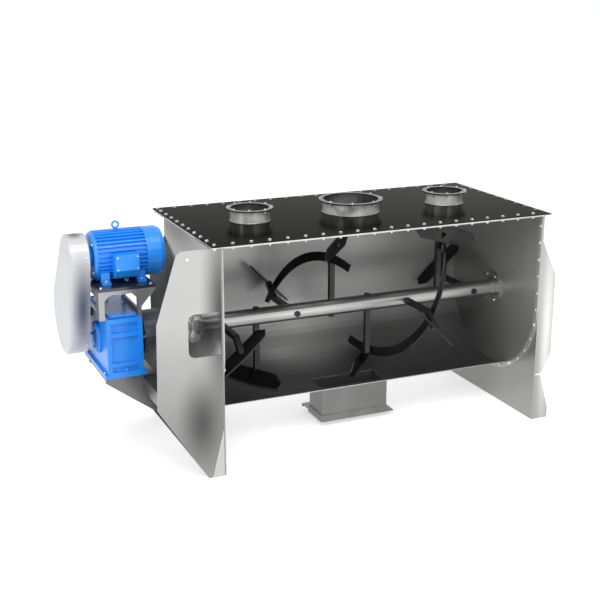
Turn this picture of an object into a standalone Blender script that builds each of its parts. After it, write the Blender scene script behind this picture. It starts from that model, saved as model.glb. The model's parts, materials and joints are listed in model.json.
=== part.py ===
"""Ribbon blender: a U trough on folded end plates, with a paddle and ribbon agitator.

Metres, +Z up. X runs along the shaft from the drive end (-X) to the far end (+X).
The front, where the trough wall is cut open to show the inside, faces -Y. The origin
is on the floor, under the middle of the machine's overall box.
"""

import math

import bmesh
import bpy
from mathutils import Matrix, Vector

# Gaps between pieces
GAP = 0.0003
RUN = 0.0015

# Main layout
TROUGH_LENGTH = 1.935
DRIVE_OVERHANG = 0.683
SHAFT_HEIGHT = 0.700
LID_TOP = 1.2593
CENTRE_OFFSET = -0.0145

# Trough
TROUGH_RADIUS = 0.449
TROUGH_DROP = 0.018
SHELL = 0.006
CUT_ANGLE = 25.0
RIM_WIDTH = 0.0655
FLANGE_WIDTH = 0.0305
FLANGE = 0.006

# End plates and their folds
PLATE = 0.008
PLATE_MARGIN = 0.0375
FAR_FOLD = 0.099
FAR_FOLD_TOP = 1.103
FAR_FOLD_SHOULDER = 0.882
FAR_FOLD_KNEE = 0.408
FAR_FOLD_WAIST = 0.040
FAR_FOLD_WAIST_HEIGHT = 0.280
SLIT = 0.012
FOOT_FOLD_TOP = 0.064
DRIVE_TOP_FOLD = 0.0549
FAR_TOP_FOLD = 0.0197
FLOOR_FOLD = 0.088
PLATE_BORE_RADIUS = 0.043

# Cheeks that carry the drive
CHEEK = 0.006
CHEEK_TOP_REACH = 0.199
CHEEK_SHOULDER_REACH = 0.346
CHEEK_SHOULDER_HEIGHT = 0.877
CHEEK_KNEE_REACH = 0.355
CHEEK_KNEE_HEIGHT = 0.418
CHEEK_CORNER_RADIUS = 0.040
REAR_CHEEK_REACH = 0.099
REAR_CHEEK_STEP_HEIGHT = 0.560
WINDOW_REACH = 0.181
WINDOW_BELOW_SHAFT = 0.019
WINDOW_ABOVE_SHAFT = 0.212
WINDOW_RADIUS = 0.035

# Lid
LID = 0.005
LID_SEAL = 0.003
LID_MARGIN = 0.0061
LID_SEAL_WIDTH = 0.060

# Inlet ports
PORT_SPACING = 0.615
PORT_RADIUS = 0.1095
CENTRE_PORT_RADIUS = 0.162
PORT_WALL = 0.004
PORT_HEIGHT = 0.0725
PORT_FLANGE = 0.008
PORT_FLANGE_WIDTH = 0.0215

# Discharge chute and its slide gate
CHUTE_LENGTH = 0.424
CHUTE_WIDTH = 0.180
CHUTE_WALL = 0.005
COLLAR_BOTTOM = 0.030
COLLAR_HEIGHT = 0.040
COLLAR_WALL = 0.006
GATE = 0.006
GATE_LEDGE = 0.015
GATE_TAIL = 0.114
GATE_LIP = 0.014
GATE_SIDE_PLAY = 0.001
COLLAR_WING = 0.038

# Shaft line
SHAFT_RADIUS = 0.048
JOURNAL_RADIUS = 0.035
SHAFT_END_CLEARANCE = 0.012
SHAFT_COLLAR_RADIUS = 0.054
SHAFT_COLLAR = 0.020
SEAL_RADIUS = 0.100
SEAL = 0.012
BEARING_RADIUS = 0.100
BEARING_FLANGE = 0.016
BEARING_BOSS_RADIUS = 0.062
BEARING_DEPTH = 0.046
COUPLING_RADIUS = 0.115
COUPLING_HALF = 0.078
COUPLING_HUB_RADIUS = 0.070
COUPLING_HUB = 0.028
COUPLING_START = 0.173

# Agitator
ARM_PITCH = 0.2343
ARM = 0.030
ARM_BEND_RADIUS = 0.305
ARM_BEND = 40.0
ARM_LEG = 0.115
SHANK_RADIUS = 0.013
ARM_NUT_RADIUS = 0.018
ARM_NUT = 0.007
ARM_ANGLES = (180.0, 270.0, 0.0, 90.0, 270.0, 180.0, 90.0, 0.0)
PADDLE_LENGTH = 0.365
PADDLE_WIDTH = 0.105
PADDLE = 0.008
PADDLE_TIP_RADIUS = 0.442
PADDLE_HELIX = 45.0
PADDLE_CHAMFER = 0.042
RIBBON_OUTER = 0.330
RIBBON_WIDTH = 0.053
RIBBON = 0.008
DRIVE_RIBBON_TAILS = (4.0, 30.0)
FAR_RIBBON_TAILS = (30.0, 0.0)
RIBBON_TUCK = 0.0011

# Gearbox
GEARBOX_GAP = 0.338
GEARBOX_LENGTH = 0.192
GEARBOX_FRONT = 0.200
GEARBOX_REAR = 0.290
GEARBOX_BELOW_SHAFT = 0.157
GEARBOX_ABOVE_SHAFT = 0.145
GEARBOX_RIB = 0.024
GEARBOX_RECESS = 0.012
GEARBOX_FOOT = 0.020
GEARBOX_FOOT_REACH = 0.030
END_COVER_RADIUS = 0.086
END_COVER = 0.014
TOP_COVER = 0.010
OUTPUT_RADIUS = 0.030
OUTPUT_DEPTH = 0.060
INPUT_RADIUS = 0.021
INPUT_OFFSET = 0.170
INPUT_ABOVE_SHAFT = 0.090
INPUT_DEPTH = 0.080
BASE_PLATE = 0.012
GUSSET = 0.010
GUSSET_SPREAD = 0.185
GUSSET_ROOT = 0.095
GUSSET_DEPTH = 0.070
BEAM_HEIGHT = 0.075
BEAM = 0.010

# Motor
MOTOR_SHAFT_HEIGHT = 0.132
MOTOR_RADIUS = 0.118
MOTOR_FIN = 0.014
MOTOR_FINS = 36
MOTOR_FIN_SHARE = 0.42
MOTOR_FRAME_LENGTH = 0.258
MOTOR_SHIELD = 0.028
MOTOR_SHIELD_RADIUS = 0.128
MOTOR_BOSS_RADIUS = 0.060
COWL_LENGTH = 0.108
COWL_RADIUS = 0.131
COWL_WALL = 0.003
COWL_DOME = 0.030
COWL_HOLES = 12
COWL_HOLE_RADIUS = 0.009
FAN_RADIUS = 0.105
FAN_HUB_RADIUS = 0.030
FAN_DEPTH = 0.030
FAN_BLADES = 8
MOTOR_SHAFT_RADIUS = 0.019
FOOT_SPREAD = 0.108
FOOT_WIDTH = 0.050
FOOT = 0.016
FOOT_LENGTH = 0.045
FOOT_INSET = 0.012
TERMINAL_LENGTH = 0.125
TERMINAL_HEIGHT = 0.100
TERMINAL_REACH = 0.058
TERMINAL_LID = 0.012
TERMINAL_RISE = -0.015
TERMINAL_PLACE = 0.070
EYE_RADIUS = 0.017
EYE_WIRE = 0.005
EYE_STEM = 0.010
EYE_PLACE = 0.125

# Motor bracket
BRACKET_HEIGHT = 0.1521
MOTOR_PLATE = 0.016
MOTOR_PLATE_FRONT = 0.200
MOTOR_PLATE_REAR = 0.190
MOTOR_PLATE_LENGTH = 0.303
GUARD_TO_BRACKET = 0.014
SHIELD_SETBACK = 0.002
BRACKET = 0.010
BRACKET_LEG = 0.060
BRACKET_RAIL = 0.035
BRACKET_POST = 0.020
BRACKET_CORNER = 0.030
BRACKET_WEB = 0.095

# Belt drive
PULLEY_WIDTH = 0.050
PULLEY_INSET = 0.026
SMALL_PULLEY_RADIUS = 0.078
LARGE_PULLEY_RADIUS = 0.172
GROOVE_DEPTH = 0.012
GROOVE_TOP = 0.014
GROOVE_BOTTOM = 0.008
GROOVES = 2
GROOVE_PITCH = 0.022
BELT_WIDTH_TOP = 0.012
BELT_WIDTH_BOTTOM = 0.0065
BELT_DEPTH = 0.009
BELT_SEAT = 0.0004
GUARD_DEPTH = 0.105
GUARD_WALL = 0.003
GUARD_UPPER_RADIUS = 0.125
GUARD_LOWER_RADIUS = 0.215
GUARD_EDGE = 0.012
GUARD_BACK = 0.004
GUARD_STANDOFF_RADIUS = 0.012

# Facets
ROUND = 48
PORT_ROUND = 36
TURNED_ROUND = 24
SMALL_ROUND = 20

# Places worked out from the sizes
MACHINE_LENGTH = DRIVE_OVERHANG + 2 * PLATE + TROUGH_LENGTH + FAR_FOLD
X_DRIVE_OUTER = -MACHINE_LENGTH / 2 + DRIVE_OVERHANG
X_DRIVE_INNER = X_DRIVE_OUTER + PLATE
X_FAR_INNER = X_DRIVE_INNER + TROUGH_LENGTH
X_FAR_OUTER = X_FAR_INNER + PLATE
X_CENTRE = (X_DRIVE_INNER + X_FAR_INNER) / 2 + CENTRE_OFFSET
Z_LID_BOTTOM = LID_TOP - LID
Z_RIM_TOP = Z_LID_BOTTOM - LID_SEAL - 2 * GAP
Z_RIM_BOTTOM = Z_RIM_TOP - SHELL
Z_PLATE_TOP = Z_RIM_TOP
Z_ROUND = SHAFT_HEIGHT - TROUGH_DROP
SHELL_OUTER = TROUGH_RADIUS + SHELL
PLATE_HALF_WIDTH = TROUGH_RADIUS + PLATE_MARGIN
LID_HALF_WIDTH = TROUGH_RADIUS + RIM_WIDTH + LID_MARGIN
WINDOW_LOW = SHAFT_HEIGHT - WINDOW_BELOW_SHAFT
WINDOW_HIGH = SHAFT_HEIGHT + WINDOW_ABOVE_SHAFT
GEARBOX_BOTTOM = SHAFT_HEIGHT - GEARBOX_BELOW_SHAFT
GEARBOX_TOP = SHAFT_HEIGHT + GEARBOX_ABOVE_SHAFT
INPUT_HEIGHT = SHAFT_HEIGHT + INPUT_ABOVE_SHAFT
X_GEARBOX_RIGHT = X_DRIVE_OUTER - GEARBOX_GAP
X_GEARBOX_LEFT = X_GEARBOX_RIGHT - GEARBOX_LENGTH
X_GUARD_OUTER = -MACHINE_LENGTH / 2
X_GUARD_INNER = X_GUARD_OUTER + GUARD_DEPTH
X_PULLEY_LEFT = X_GUARD_OUTER + PULLEY_INSET
X_PULLEY_RIGHT = X_PULLEY_LEFT + PULLEY_WIDTH
Z_MOTOR_PLATE_BOTTOM = GEARBOX_TOP + GAP + BRACKET_HEIGHT + GAP
Z_MOTOR_PLATE_TOP = Z_MOTOR_PLATE_BOTTOM + MOTOR_PLATE
MOTOR_HEIGHT = Z_MOTOR_PLATE_TOP + GAP + MOTOR_SHAFT_HEIGHT
X_MOTOR_PLATE_LEFT = X_GUARD_INNER + GUARD_TO_BRACKET
X_MOTOR_PLATE_RIGHT = X_MOTOR_PLATE_LEFT + MOTOR_PLATE_LENGTH
X_SHIELD_LEFT = X_MOTOR_PLATE_LEFT + SHIELD_SETBACK
X_FRAME_LEFT = X_SHIELD_LEFT + MOTOR_SHIELD + GAP
X_FRAME_RIGHT = X_FRAME_LEFT + MOTOR_FRAME_LENGTH
Z_BASE_TOP = GEARBOX_BOTTOM - GEARBOX_FOOT - GAP
Z_BASE_BOTTOM = Z_BASE_TOP - BASE_PLATE
X_BASE_LEFT = X_GEARBOX_LEFT - GEARBOX_FOOT_REACH / 2
X_BEAM = X_DRIVE_OUTER - CHEEK_SHOULDER_REACH
GATE_BOTTOM = COLLAR_BOTTOM + COLLAR_WALL + GAP
GATE_TOP = GATE_BOTTOM + GATE
Z_CHUTE_BOTTOM = GATE_TOP + GAP

PARTS = None
CUTTERS = None
MATERIALS = {}


def clear_scene():
    """Remove what a new Blender file starts with."""
    for item in list(bpy.data.objects):
        bpy.data.objects.remove(item, do_unlink=True)


def make_collections():
    global PARTS, CUTTERS
    PARTS = bpy.data.collections.new("ribbon_blender")
    CUTTERS = bpy.data.collections.new("cutters")
    for collection in (PARTS, CUTTERS):
        bpy.context.scene.collection.children.link(collection)


def make_material(name, colour, roughness, metallic):
    material = bpy.data.materials.new(name)
    material.use_nodes = True
    shader = material.node_tree.nodes["Principled BSDF"]
    shader.inputs["Base Color"].default_value = (*colour, 1.0)
    shader.inputs["Roughness"].default_value = roughness
    shader.inputs["Metallic"].default_value = metallic
    MATERIALS[name] = material


def make_materials():
    make_material("brushed_steel", (0.58, 0.58, 0.57), 0.32, 1.0)
    make_material("mirror_steel", (0.42, 0.42, 0.42), 0.12, 1.0)
    make_material("dark_steel", (0.16, 0.16, 0.16), 0.35, 1.0)
    make_material("blue_paint", (0.02, 0.16, 0.62), 0.35, 0.0)
    make_material("pale_paint", (0.80, 0.81, 0.82), 0.40, 0.0)
    make_material("grey_iron", (0.12, 0.13, 0.15), 0.50, 1.0)
    make_material("black_rubber", (0.02, 0.02, 0.02), 0.80, 0.0)
    make_material("white_seal", (0.82, 0.82, 0.80), 0.60, 0.0)


def add_object(name, mesh, material, collection=None):
    obj = bpy.data.objects.new(name, mesh)
    (collection or PARTS).objects.link(obj)
    if material:
        obj.data.materials.append(MATERIALS[material])
    return obj


def as_cutter(obj):
    """Keep a shape only as a guide that cuts or joins others."""
    for collection in list(obj.users_collection):
        collection.objects.unlink(obj)
    CUTTERS.objects.link(obj)
    obj.hide_render = True
    obj.display_type = 'WIRE'
    return obj


def boolean(obj, other, operation):
    modifier = obj.modifiers.new(operation.lower(), 'BOOLEAN')
    modifier.solver = 'EXACT'
    modifier.operation = operation
    modifier.object = as_cutter(other)
    return obj


def cut(obj, *others):
    for other in others:
        boolean(obj, other, 'DIFFERENCE')
    return obj


def join(obj, *others):
    for other in others:
        boolean(obj, other, 'UNION')
    return obj


def bevel(obj, width, segments=1, angle=40.0):
    modifier = obj.modifiers.new("edges", 'BEVEL')
    modifier.width = width
    modifier.segments = segments
    modifier.limit_method = 'ANGLE'
    modifier.angle_limit = math.radians(angle)
    return obj


def box(name, x, y, z, material=None):
    """A block between two limits on each axis."""
    bm = bmesh.new()
    bmesh.ops.create_cube(bm, size=1.0)
    sizes = Vector((x[1] - x[0], y[1] - y[0], z[1] - z[0]))
    middle = Vector(((x[0] + x[1]) / 2, (y[0] + y[1]) / 2, (z[0] + z[1]) / 2))
    bmesh.ops.scale(bm, vec=sizes, verts=bm.verts)
    mesh = bpy.data.meshes.new(name)
    bm.to_mesh(mesh)
    bm.free()
    obj = add_object(name, mesh, material)
    obj.location = middle
    return obj


def turn_to(axis):
    """The rotation that brings local +Z onto a world axis."""
    return {
        'X': (0.0, math.pi / 2, 0.0),
        'Y': (-math.pi / 2, 0.0, 0.0),
        'Z': (0.0, 0.0, 0.0),
    }[axis]


def rod(name, start, length, radius, axis='X', sides=SMALL_ROUND, material=None, tip_radius=None):
    """A cylinder or cone from a start point along an axis."""
    bm = bmesh.new()
    tip = radius if tip_radius is None else tip_radius
    bmesh.ops.create_cone(bm, cap_ends=True, segments=sides, radius1=radius, radius2=tip, depth=length)
    bmesh.ops.translate(bm, vec=(0.0, 0.0, length / 2), verts=bm.verts)
    mesh = bpy.data.meshes.new(name)
    bm.to_mesh(mesh)
    bm.free()
    mesh.shade_smooth()
    mesh.set_sharp_from_angle(angle=math.radians(40))
    obj = add_object(name, mesh, material)
    obj.location = start
    obj.rotation_euler = turn_to(axis)
    return obj


def turned(name, profile, origin, axis='X', sides=TURNED_ROUND, material=None):
    """Revolve a closed outline of (radius, height) points about an axis."""
    area = sum(a[0] * b[1] - b[0] * a[1] for a, b in zip(profile, profile[1:] + profile[:1]))
    points = profile if area < 0 else profile[::-1]
    if min(radius for radius, _ in points) <= 0.0:
        while not (points[-1][0] <= 0.0 and points[0][0] <= 0.0):
            points = points[1:] + points[:1]
        edges = [(i, i + 1) for i in range(len(points) - 1)]
    else:
        edges = [(i, (i + 1) % len(points)) for i in range(len(points))]
    mesh = bpy.data.meshes.new(name)
    mesh.from_pydata([(radius, 0.0, height) for radius, height in points], edges, [])
    obj = add_object(name, mesh, material)
    screw = obj.modifiers.new("turn", 'SCREW')
    screw.axis = 'Z'
    screw.angle = math.tau
    screw.steps = screw.render_steps = sides
    screw.use_merge_vertices = True
    screw.merge_threshold = 0.00001
    screw.use_smooth_shade = False
    obj.location = origin
    obj.rotation_euler = turn_to(axis)
    return obj


PLANES = {
    'XY': Matrix.Identity(4),
    'XZ': Matrix.Rotation(math.pi / 2, 4, 'X'),
    'YZ': Matrix(((0, 0, 1, 0), (1, 0, 0, 0), (0, 1, 0, 0), (0, 0, 0, 1))),
}


def plate(name, loops, plane, low, high, material=None):
    """A flat plate from outlines, the first the edge and any others holes.

    XZ outlines are (x, z) and lie between two values of y, YZ ones are (y, z)
    between two values of x, and XY ones are (x, y) between two values of z.
    """
    curve = bpy.data.curves.new(name, 'CURVE')
    curve.dimensions = '2D'
    curve.fill_mode = 'BOTH'
    curve.extrude = (high - low) / 2
    for loop in loops:
        spline = curve.splines.new('POLY')
        spline.points.add(len(loop) - 1)
        for point, (u, v) in zip(spline.points, loop):
            point.co = (u, v, 0.0, 1.0)
        spline.use_cyclic_u = True
    guide = bpy.data.objects.new(name + "_outline", curve)
    bpy.context.scene.collection.objects.link(guide)
    guide.matrix_world = PLANES[plane]
    bpy.context.view_layer.update()
    graph = bpy.context.evaluated_depsgraph_get()
    mesh = bpy.data.meshes.new_from_object(guide.evaluated_get(graph))
    bm = bmesh.new()
    bm.from_mesh(mesh)
    bmesh.ops.remove_doubles(bm, verts=bm.verts, dist=0.00001)
    bmesh.ops.dissolve_limit(bm, angle_limit=0.001, verts=bm.verts, edges=bm.edges)
    bmesh.ops.recalc_face_normals(bm, faces=bm.faces)
    bm.to_mesh(mesh)
    bm.free()
    bpy.data.objects.remove(guide, do_unlink=True)
    obj = add_object(name, mesh, material)
    middle = (low + high) / 2
    offset = {'XY': (0, 0, middle), 'XZ': (0, middle, 0), 'YZ': (middle, 0, 0)}[plane]
    obj.matrix_world = Matrix.Translation(offset) @ PLANES[plane]
    return obj


def arc(centre, radius, start, end, steps):
    """Points on a circle between two angles in degrees."""
    points = []
    for i in range(steps + 1):
        angle = math.radians(start + (end - start) * i / steps)
        points.append((centre[0] + radius * math.cos(angle), centre[1] + radius * math.sin(angle)))
    return points


def around(radius, sides=TURNED_ROUND):
    """Corner radius at which a facetted hole just clears a round of this radius."""
    return radius / math.cos(math.pi / sides)


def circle(centre, radius, steps=ROUND):
    return arc(centre, radius, 0.0, 360.0 - 360.0 / steps, steps - 1)


def rectangle(u, v):
    return [(u[0], v[0]), (u[1], v[0]), (u[1], v[1]), (u[0], v[1])]


# The trough

def u_outline(radius, top, sides=ROUND):
    """A U of (y, z) points, down the rear wall, round the bottom and up the front."""
    half = arc((0.0, Z_ROUND), radius, 0.0, -180.0, sides // 2)
    return [(radius, top)] + half + [(-radius, top)]


def trough_shell():
    """Rear wall and bottom of the trough in one bent sheet, with its rear rim."""
    middle = TROUGH_RADIUS + SHELL / 2
    rim = Z_RIM_TOP - SHELL / 2
    turn = arc((0.0, Z_ROUND), middle, 0.0, -(90.0 + CUT_ANGLE), ROUND // 2)
    profile = [(TROUGH_RADIUS + RIM_WIDTH, rim), (middle, rim)] + turn
    start = X_DRIVE_INNER + GAP
    length = TROUGH_LENGTH - 2 * GAP
    bm = bmesh.new()
    verts = [bm.verts.new((start, y, z)) for y, z in profile]
    edges = [bm.edges.new(pair) for pair in zip(verts, verts[1:])]
    swept = bmesh.ops.extrude_edge_only(bm, edges=edges)
    moved = [item for item in swept["geom"] if isinstance(item, bmesh.types.BMVert)]
    bmesh.ops.translate(bm, vec=(length, 0.0, 0.0), verts=moved)
    bmesh.ops.recalc_face_normals(bm, faces=bm.faces)
    mesh = bpy.data.meshes.new("trough_shell")
    bm.to_mesh(mesh)
    bm.free()
    obj = add_object("trough_shell", mesh, "brushed_steel")
    wall = obj.modifiers.new("wall", 'SOLIDIFY')
    wall.thickness = SHELL
    wall.offset = 0.0
    wall.use_even_offset = True
    hole_x = CHUTE_LENGTH / 2 - CHUTE_WALL
    hole_y = CHUTE_WIDTH / 2 - CHUTE_WALL
    low = Z_ROUND - SHELL_OUTER - SHELL
    high = Z_ROUND - TROUGH_RADIUS / 2
    cut(obj, box("chute_hole", (X_CENTRE - hole_x, X_CENTRE + hole_x), (-hole_y, hole_y), (low, high)))
    return obj


def trough_flange(name, low, high):
    """Flat U ring round one end of the shell, bolted to the end plate."""
    inner = u_outline(around(SHELL_OUTER + GAP, ROUND), Z_RIM_BOTTOM - GAP)
    outer = u_outline(SHELL_OUTER + FLANGE_WIDTH, Z_RIM_BOTTOM - GAP)
    return plate(name, [outer + inner[::-1]], 'YZ', low, high, "brushed_steel")


def front_rim():
    """Flat bar that stays along the open front and carries the lid."""
    outer = -(TROUGH_RADIUS + RIM_WIDTH)
    x = (X_DRIVE_INNER + GAP, X_FAR_INNER - GAP)
    return box("front_rim", x, (outer, -TROUGH_RADIUS), (Z_RIM_BOTTOM, Z_RIM_TOP), "brushed_steel")


# End plates, cheeks and frame

def fold_outline(root, reach, way):
    """The side fold of an end plate above its slit, as (x, z) points."""
    return [
        (root, FAR_FOLD_TOP),
        (root + way * reach, FAR_FOLD_SHOULDER),
        (root + way * reach, FAR_FOLD_KNEE),
        (root + way * FAR_FOLD_WAIST, FAR_FOLD_WAIST_HEIGHT + SLIT / 2),
        (root, FAR_FOLD_WAIST_HEIGHT + SLIT / 2),
    ]


def foot_outline(root, reach, way):
    """The foot below the slit, which stands on the floor."""
    return [
        (root, FAR_FOLD_WAIST_HEIGHT - SLIT / 2),
        (root + way * FAR_FOLD_WAIST, FAR_FOLD_WAIST_HEIGHT - SLIT / 2),
        (root + way * reach, FOOT_FOLD_TOP),
        (root + way * reach, 0.0),
        (root, 0.0),
    ]


def far_end_plate():
    """End plate of the far end, with its top fold, side folds and feet."""
    edge = rectangle((-PLATE_HALF_WIDTH, PLATE_HALF_WIDTH), (0.0, Z_PLATE_TOP))
    bore = circle((0.0, SHAFT_HEIGHT), PLATE_BORE_RADIUS, SMALL_ROUND)
    obj = plate("far_end_plate", [edge, bore], 'YZ', X_FAR_INNER, X_FAR_OUTER, "brushed_steel")
    inside = X_FAR_OUTER - PLATE / 2
    reach = FAR_FOLD + PLATE / 2
    sheets = []
    for side in (-1, 1):
        y = sorted((side * PLATE_HALF_WIDTH, side * (PLATE_HALF_WIDTH - PLATE)))
        for part, outline in (("fold", fold_outline), ("foot", foot_outline)):
            name = "far_%s_%s" % (part, "front" if side < 0 else "rear")
            sheets.append(plate(name, [outline(inside, reach, 1)], 'XZ', *y))
    top = (Z_PLATE_TOP - SHELL, Z_PLATE_TOP)
    width = (-PLATE_HALF_WIDTH, PLATE_HALF_WIDTH)
    sheets.append(box("far_top_fold", (inside, X_FAR_OUTER + FAR_TOP_FOLD), width, top))
    return join(obj, *sheets)


def drive_end_plate():
    """End plate of the drive end, folded over at the top and along the floor."""
    edge = rectangle((-PLATE_HALF_WIDTH, PLATE_HALF_WIDTH), (0.0, Z_PLATE_TOP))
    bore = circle((0.0, SHAFT_HEIGHT), PLATE_BORE_RADIUS, SMALL_ROUND)
    obj = plate("drive_end_plate", [edge, bore], 'YZ', X_DRIVE_OUTER, X_DRIVE_INNER, "brushed_steel")
    inside = X_DRIVE_OUTER + PLATE / 2
    width = (-PLATE_HALF_WIDTH, PLATE_HALF_WIDTH)
    top = (Z_PLATE_TOP - SHELL, Z_PLATE_TOP)
    between = (-PLATE_HALF_WIDTH + CHEEK + GAP, PLATE_HALF_WIDTH - CHEEK - GAP)
    top_fold = box("drive_top_fold", (X_DRIVE_OUTER - DRIVE_TOP_FOLD, inside), width, top)
    floor_fold = box("drive_floor_fold", (X_DRIVE_OUTER - FLOOR_FOLD, inside), between, (0.0, SHELL))
    return join(obj, top_fold, floor_fold)


def front_cheek():
    """Wide side plate of the drive bay, with the bearing window."""
    root = X_DRIVE_OUTER - GAP
    top = Z_PLATE_TOP - SHELL - GAP
    corner_x = X_DRIVE_OUTER - CHEEK_TOP_REACH
    corner = arc((corner_x, top - CHEEK_CORNER_RADIUS), CHEEK_CORNER_RADIUS, 90.0, 158.0, 5)
    outline = [(root, top)] + corner + [
        (X_DRIVE_OUTER - CHEEK_SHOULDER_REACH, CHEEK_SHOULDER_HEIGHT),
        (X_DRIVE_OUTER - CHEEK_KNEE_REACH, CHEEK_KNEE_HEIGHT),
        (X_DRIVE_OUTER - FLOOR_FOLD, 0.0),
        (root, 0.0),
    ]
    y = (-PLATE_HALF_WIDTH, -PLATE_HALF_WIDTH + CHEEK)
    obj = plate("front_cheek", [outline], 'XZ', *y, "brushed_steel")
    left = X_DRIVE_OUTER - WINDOW_REACH
    low = arc((left + WINDOW_RADIUS, WINDOW_LOW + WINDOW_RADIUS), WINDOW_RADIUS, 180.0, 270.0, 5)
    high = arc((left + WINDOW_RADIUS, WINDOW_HIGH - WINDOW_RADIUS), WINDOW_RADIUS, 90.0, 180.0, 5)
    right = X_DRIVE_OUTER - GAP - CHEEK
    window = [(right, WINDOW_HIGH)] + high + low + [(right, WINDOW_LOW)]
    deep = (y[0] - CHEEK, y[1] + CHEEK)
    return cut(obj, plate("cheek_window", [window], 'XZ', *deep))


def rear_cheek():
    """Side plate at the back of the drive bay, stepped down to leave the belts free."""
    root = X_DRIVE_OUTER - GAP
    near = X_DRIVE_OUTER - REAR_CHEEK_REACH
    outline = [
        (root, FAR_FOLD_TOP),
        (near, FAR_FOLD_SHOULDER),
        (near, REAR_CHEEK_STEP_HEIGHT),
        (X_DRIVE_OUTER - CHEEK_SHOULDER_REACH, REAR_CHEEK_STEP_HEIGHT - CHEEK_CORNER_RADIUS),
        (X_DRIVE_OUTER - CHEEK_KNEE_REACH, CHEEK_KNEE_HEIGHT),
        (X_DRIVE_OUTER - FLOOR_FOLD, 0.0),
        (root, 0.0),
    ]
    y = (PLATE_HALF_WIDTH - CHEEK, PLATE_HALF_WIDTH)
    return plate("rear_cheek", [outline], 'XZ', *y, "brushed_steel")


def cross_beam():
    """Angle between the cheeks that carries the gearbox base."""
    y = (-PLATE_HALF_WIDTH + CHEEK + GAP, PLATE_HALF_WIDTH - CHEEK - GAP)
    top = Z_BASE_BOTTOM - GAP
    web = box("cross_beam", (X_BEAM, X_BEAM + BEAM), y, (top - BEAM_HEIGHT, top), "brushed_steel")
    flange = box("beam_flange", (X_BEAM + BEAM / 2, X_BEAM + BEAM_HEIGHT), y, (top - BEAM, top))
    return join(web, flange)


def gearbox_base_plate():
    """Plate under the gearbox feet, from the cross beam out to the belt side."""
    x = (X_BASE_LEFT, X_BEAM + BEAM_HEIGHT)
    y = (-GEARBOX_FRONT, GEARBOX_REAR)
    return box("gearbox_base_plate", x, y, (Z_BASE_BOTTOM, Z_BASE_TOP), "brushed_steel")


def gusset(name, y_middle):
    """Diagonal brace from the base plate's outer end down to the end plate."""
    top = Z_BASE_BOTTOM - GAP
    right = X_DRIVE_OUTER - GAP
    under_beam = top - BEAM_HEIGHT - GAP
    outline = [
        (X_BASE_LEFT, top),
        (X_BASE_LEFT, top - BASE_PLATE),
        (right, GUSSET_ROOT),
        (right, GUSSET_ROOT + GUSSET_DEPTH),
        (X_BEAM - GAP, under_beam),
        (X_BEAM - GAP, top),
    ]
    return plate(name, [outline], 'XZ', y_middle - GUSSET / 2, y_middle + GUSSET / 2, "brushed_steel")


# Lid and inlet ports

def port_places():
    """Centre, radius and name of each inlet port."""
    return [
        (X_CENTRE - PORT_SPACING, PORT_RADIUS, "inlet_port_drive"),
        (X_CENTRE, CENTRE_PORT_RADIUS, "inlet_port_centre"),
        (X_CENTRE + PORT_SPACING, PORT_RADIUS, "inlet_port_far"),
    ]


def lid_limits():
    return (X_DRIVE_OUTER - DRIVE_TOP_FOLD, X_FAR_OUTER + FAR_TOP_FOLD)


def lid():
    """Flat cover plate with a hole under each port."""
    loops = [rectangle(lid_limits(), (-LID_HALF_WIDTH, LID_HALF_WIDTH))]
    for x, radius, _ in port_places():
        loops.append(circle((x, 0.0), radius - PORT_WALL, PORT_ROUND))
    return plate("lid", loops, 'XY', Z_LID_BOTTOM, LID_TOP, "mirror_steel")


def lid_seal():
    """Flat strip of seal under the lid's edge."""
    x = lid_limits()
    y = (-LID_HALF_WIDTH, LID_HALF_WIDTH)
    inner_x = (x[0] + LID_SEAL_WIDTH, x[1] - LID_SEAL_WIDTH / 2)
    inner_y = (y[0] + LID_SEAL_WIDTH, y[1] - LID_SEAL_WIDTH)
    loops = [rectangle(x, y), rectangle(inner_x, inner_y)]
    low = Z_RIM_TOP + GAP
    return plate("lid_seal", loops, 'XY', low, low + LID_SEAL, "white_seal")


def inlet_port(x, radius, name):
    """Short tube on the lid with a flat ring flange at its mouth."""
    inner = radius - PORT_WALL
    outer = radius + PORT_FLANGE_WIDTH
    profile = [
        (inner, 0.0),
        (radius, 0.0),
        (radius, PORT_HEIGHT - PORT_FLANGE),
        (outer, PORT_HEIGHT - PORT_FLANGE),
        (outer, PORT_HEIGHT),
        (inner, PORT_HEIGHT),
    ]
    return turned(name, profile, (x, 0.0, LID_TOP + GAP), 'Z', PORT_ROUND, "mirror_steel")


# Discharge

def discharge_chute():
    """Rectangular duct from the bottom of the trough down to the slide gate."""
    x = (X_CENTRE - CHUTE_LENGTH / 2, X_CENTRE + CHUTE_LENGTH / 2)
    y = (-CHUTE_WIDTH / 2, CHUTE_WIDTH / 2)
    top = Z_ROUND - TROUGH_RADIUS + SHELL
    obj = box("discharge_chute", x, y, (Z_CHUTE_BOTTOM, top), "brushed_steel")
    inner_x = (x[0] + CHUTE_WALL, x[1] - CHUTE_WALL)
    inner_y = (y[0] + CHUTE_WALL, y[1] - CHUTE_WALL)
    passage = box("chute_passage", inner_x, inner_y, (0.0, top + CHUTE_WALL))
    start = (x[0] - CHUTE_WALL, 0.0, Z_ROUND)
    shell = rod("chute_saddle", start, CHUTE_LENGTH + 2 * CHUTE_WALL, around(SHELL_OUTER + GAP, ROUND), sides=ROUND)
    return cut(obj, passage, shell)


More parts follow.
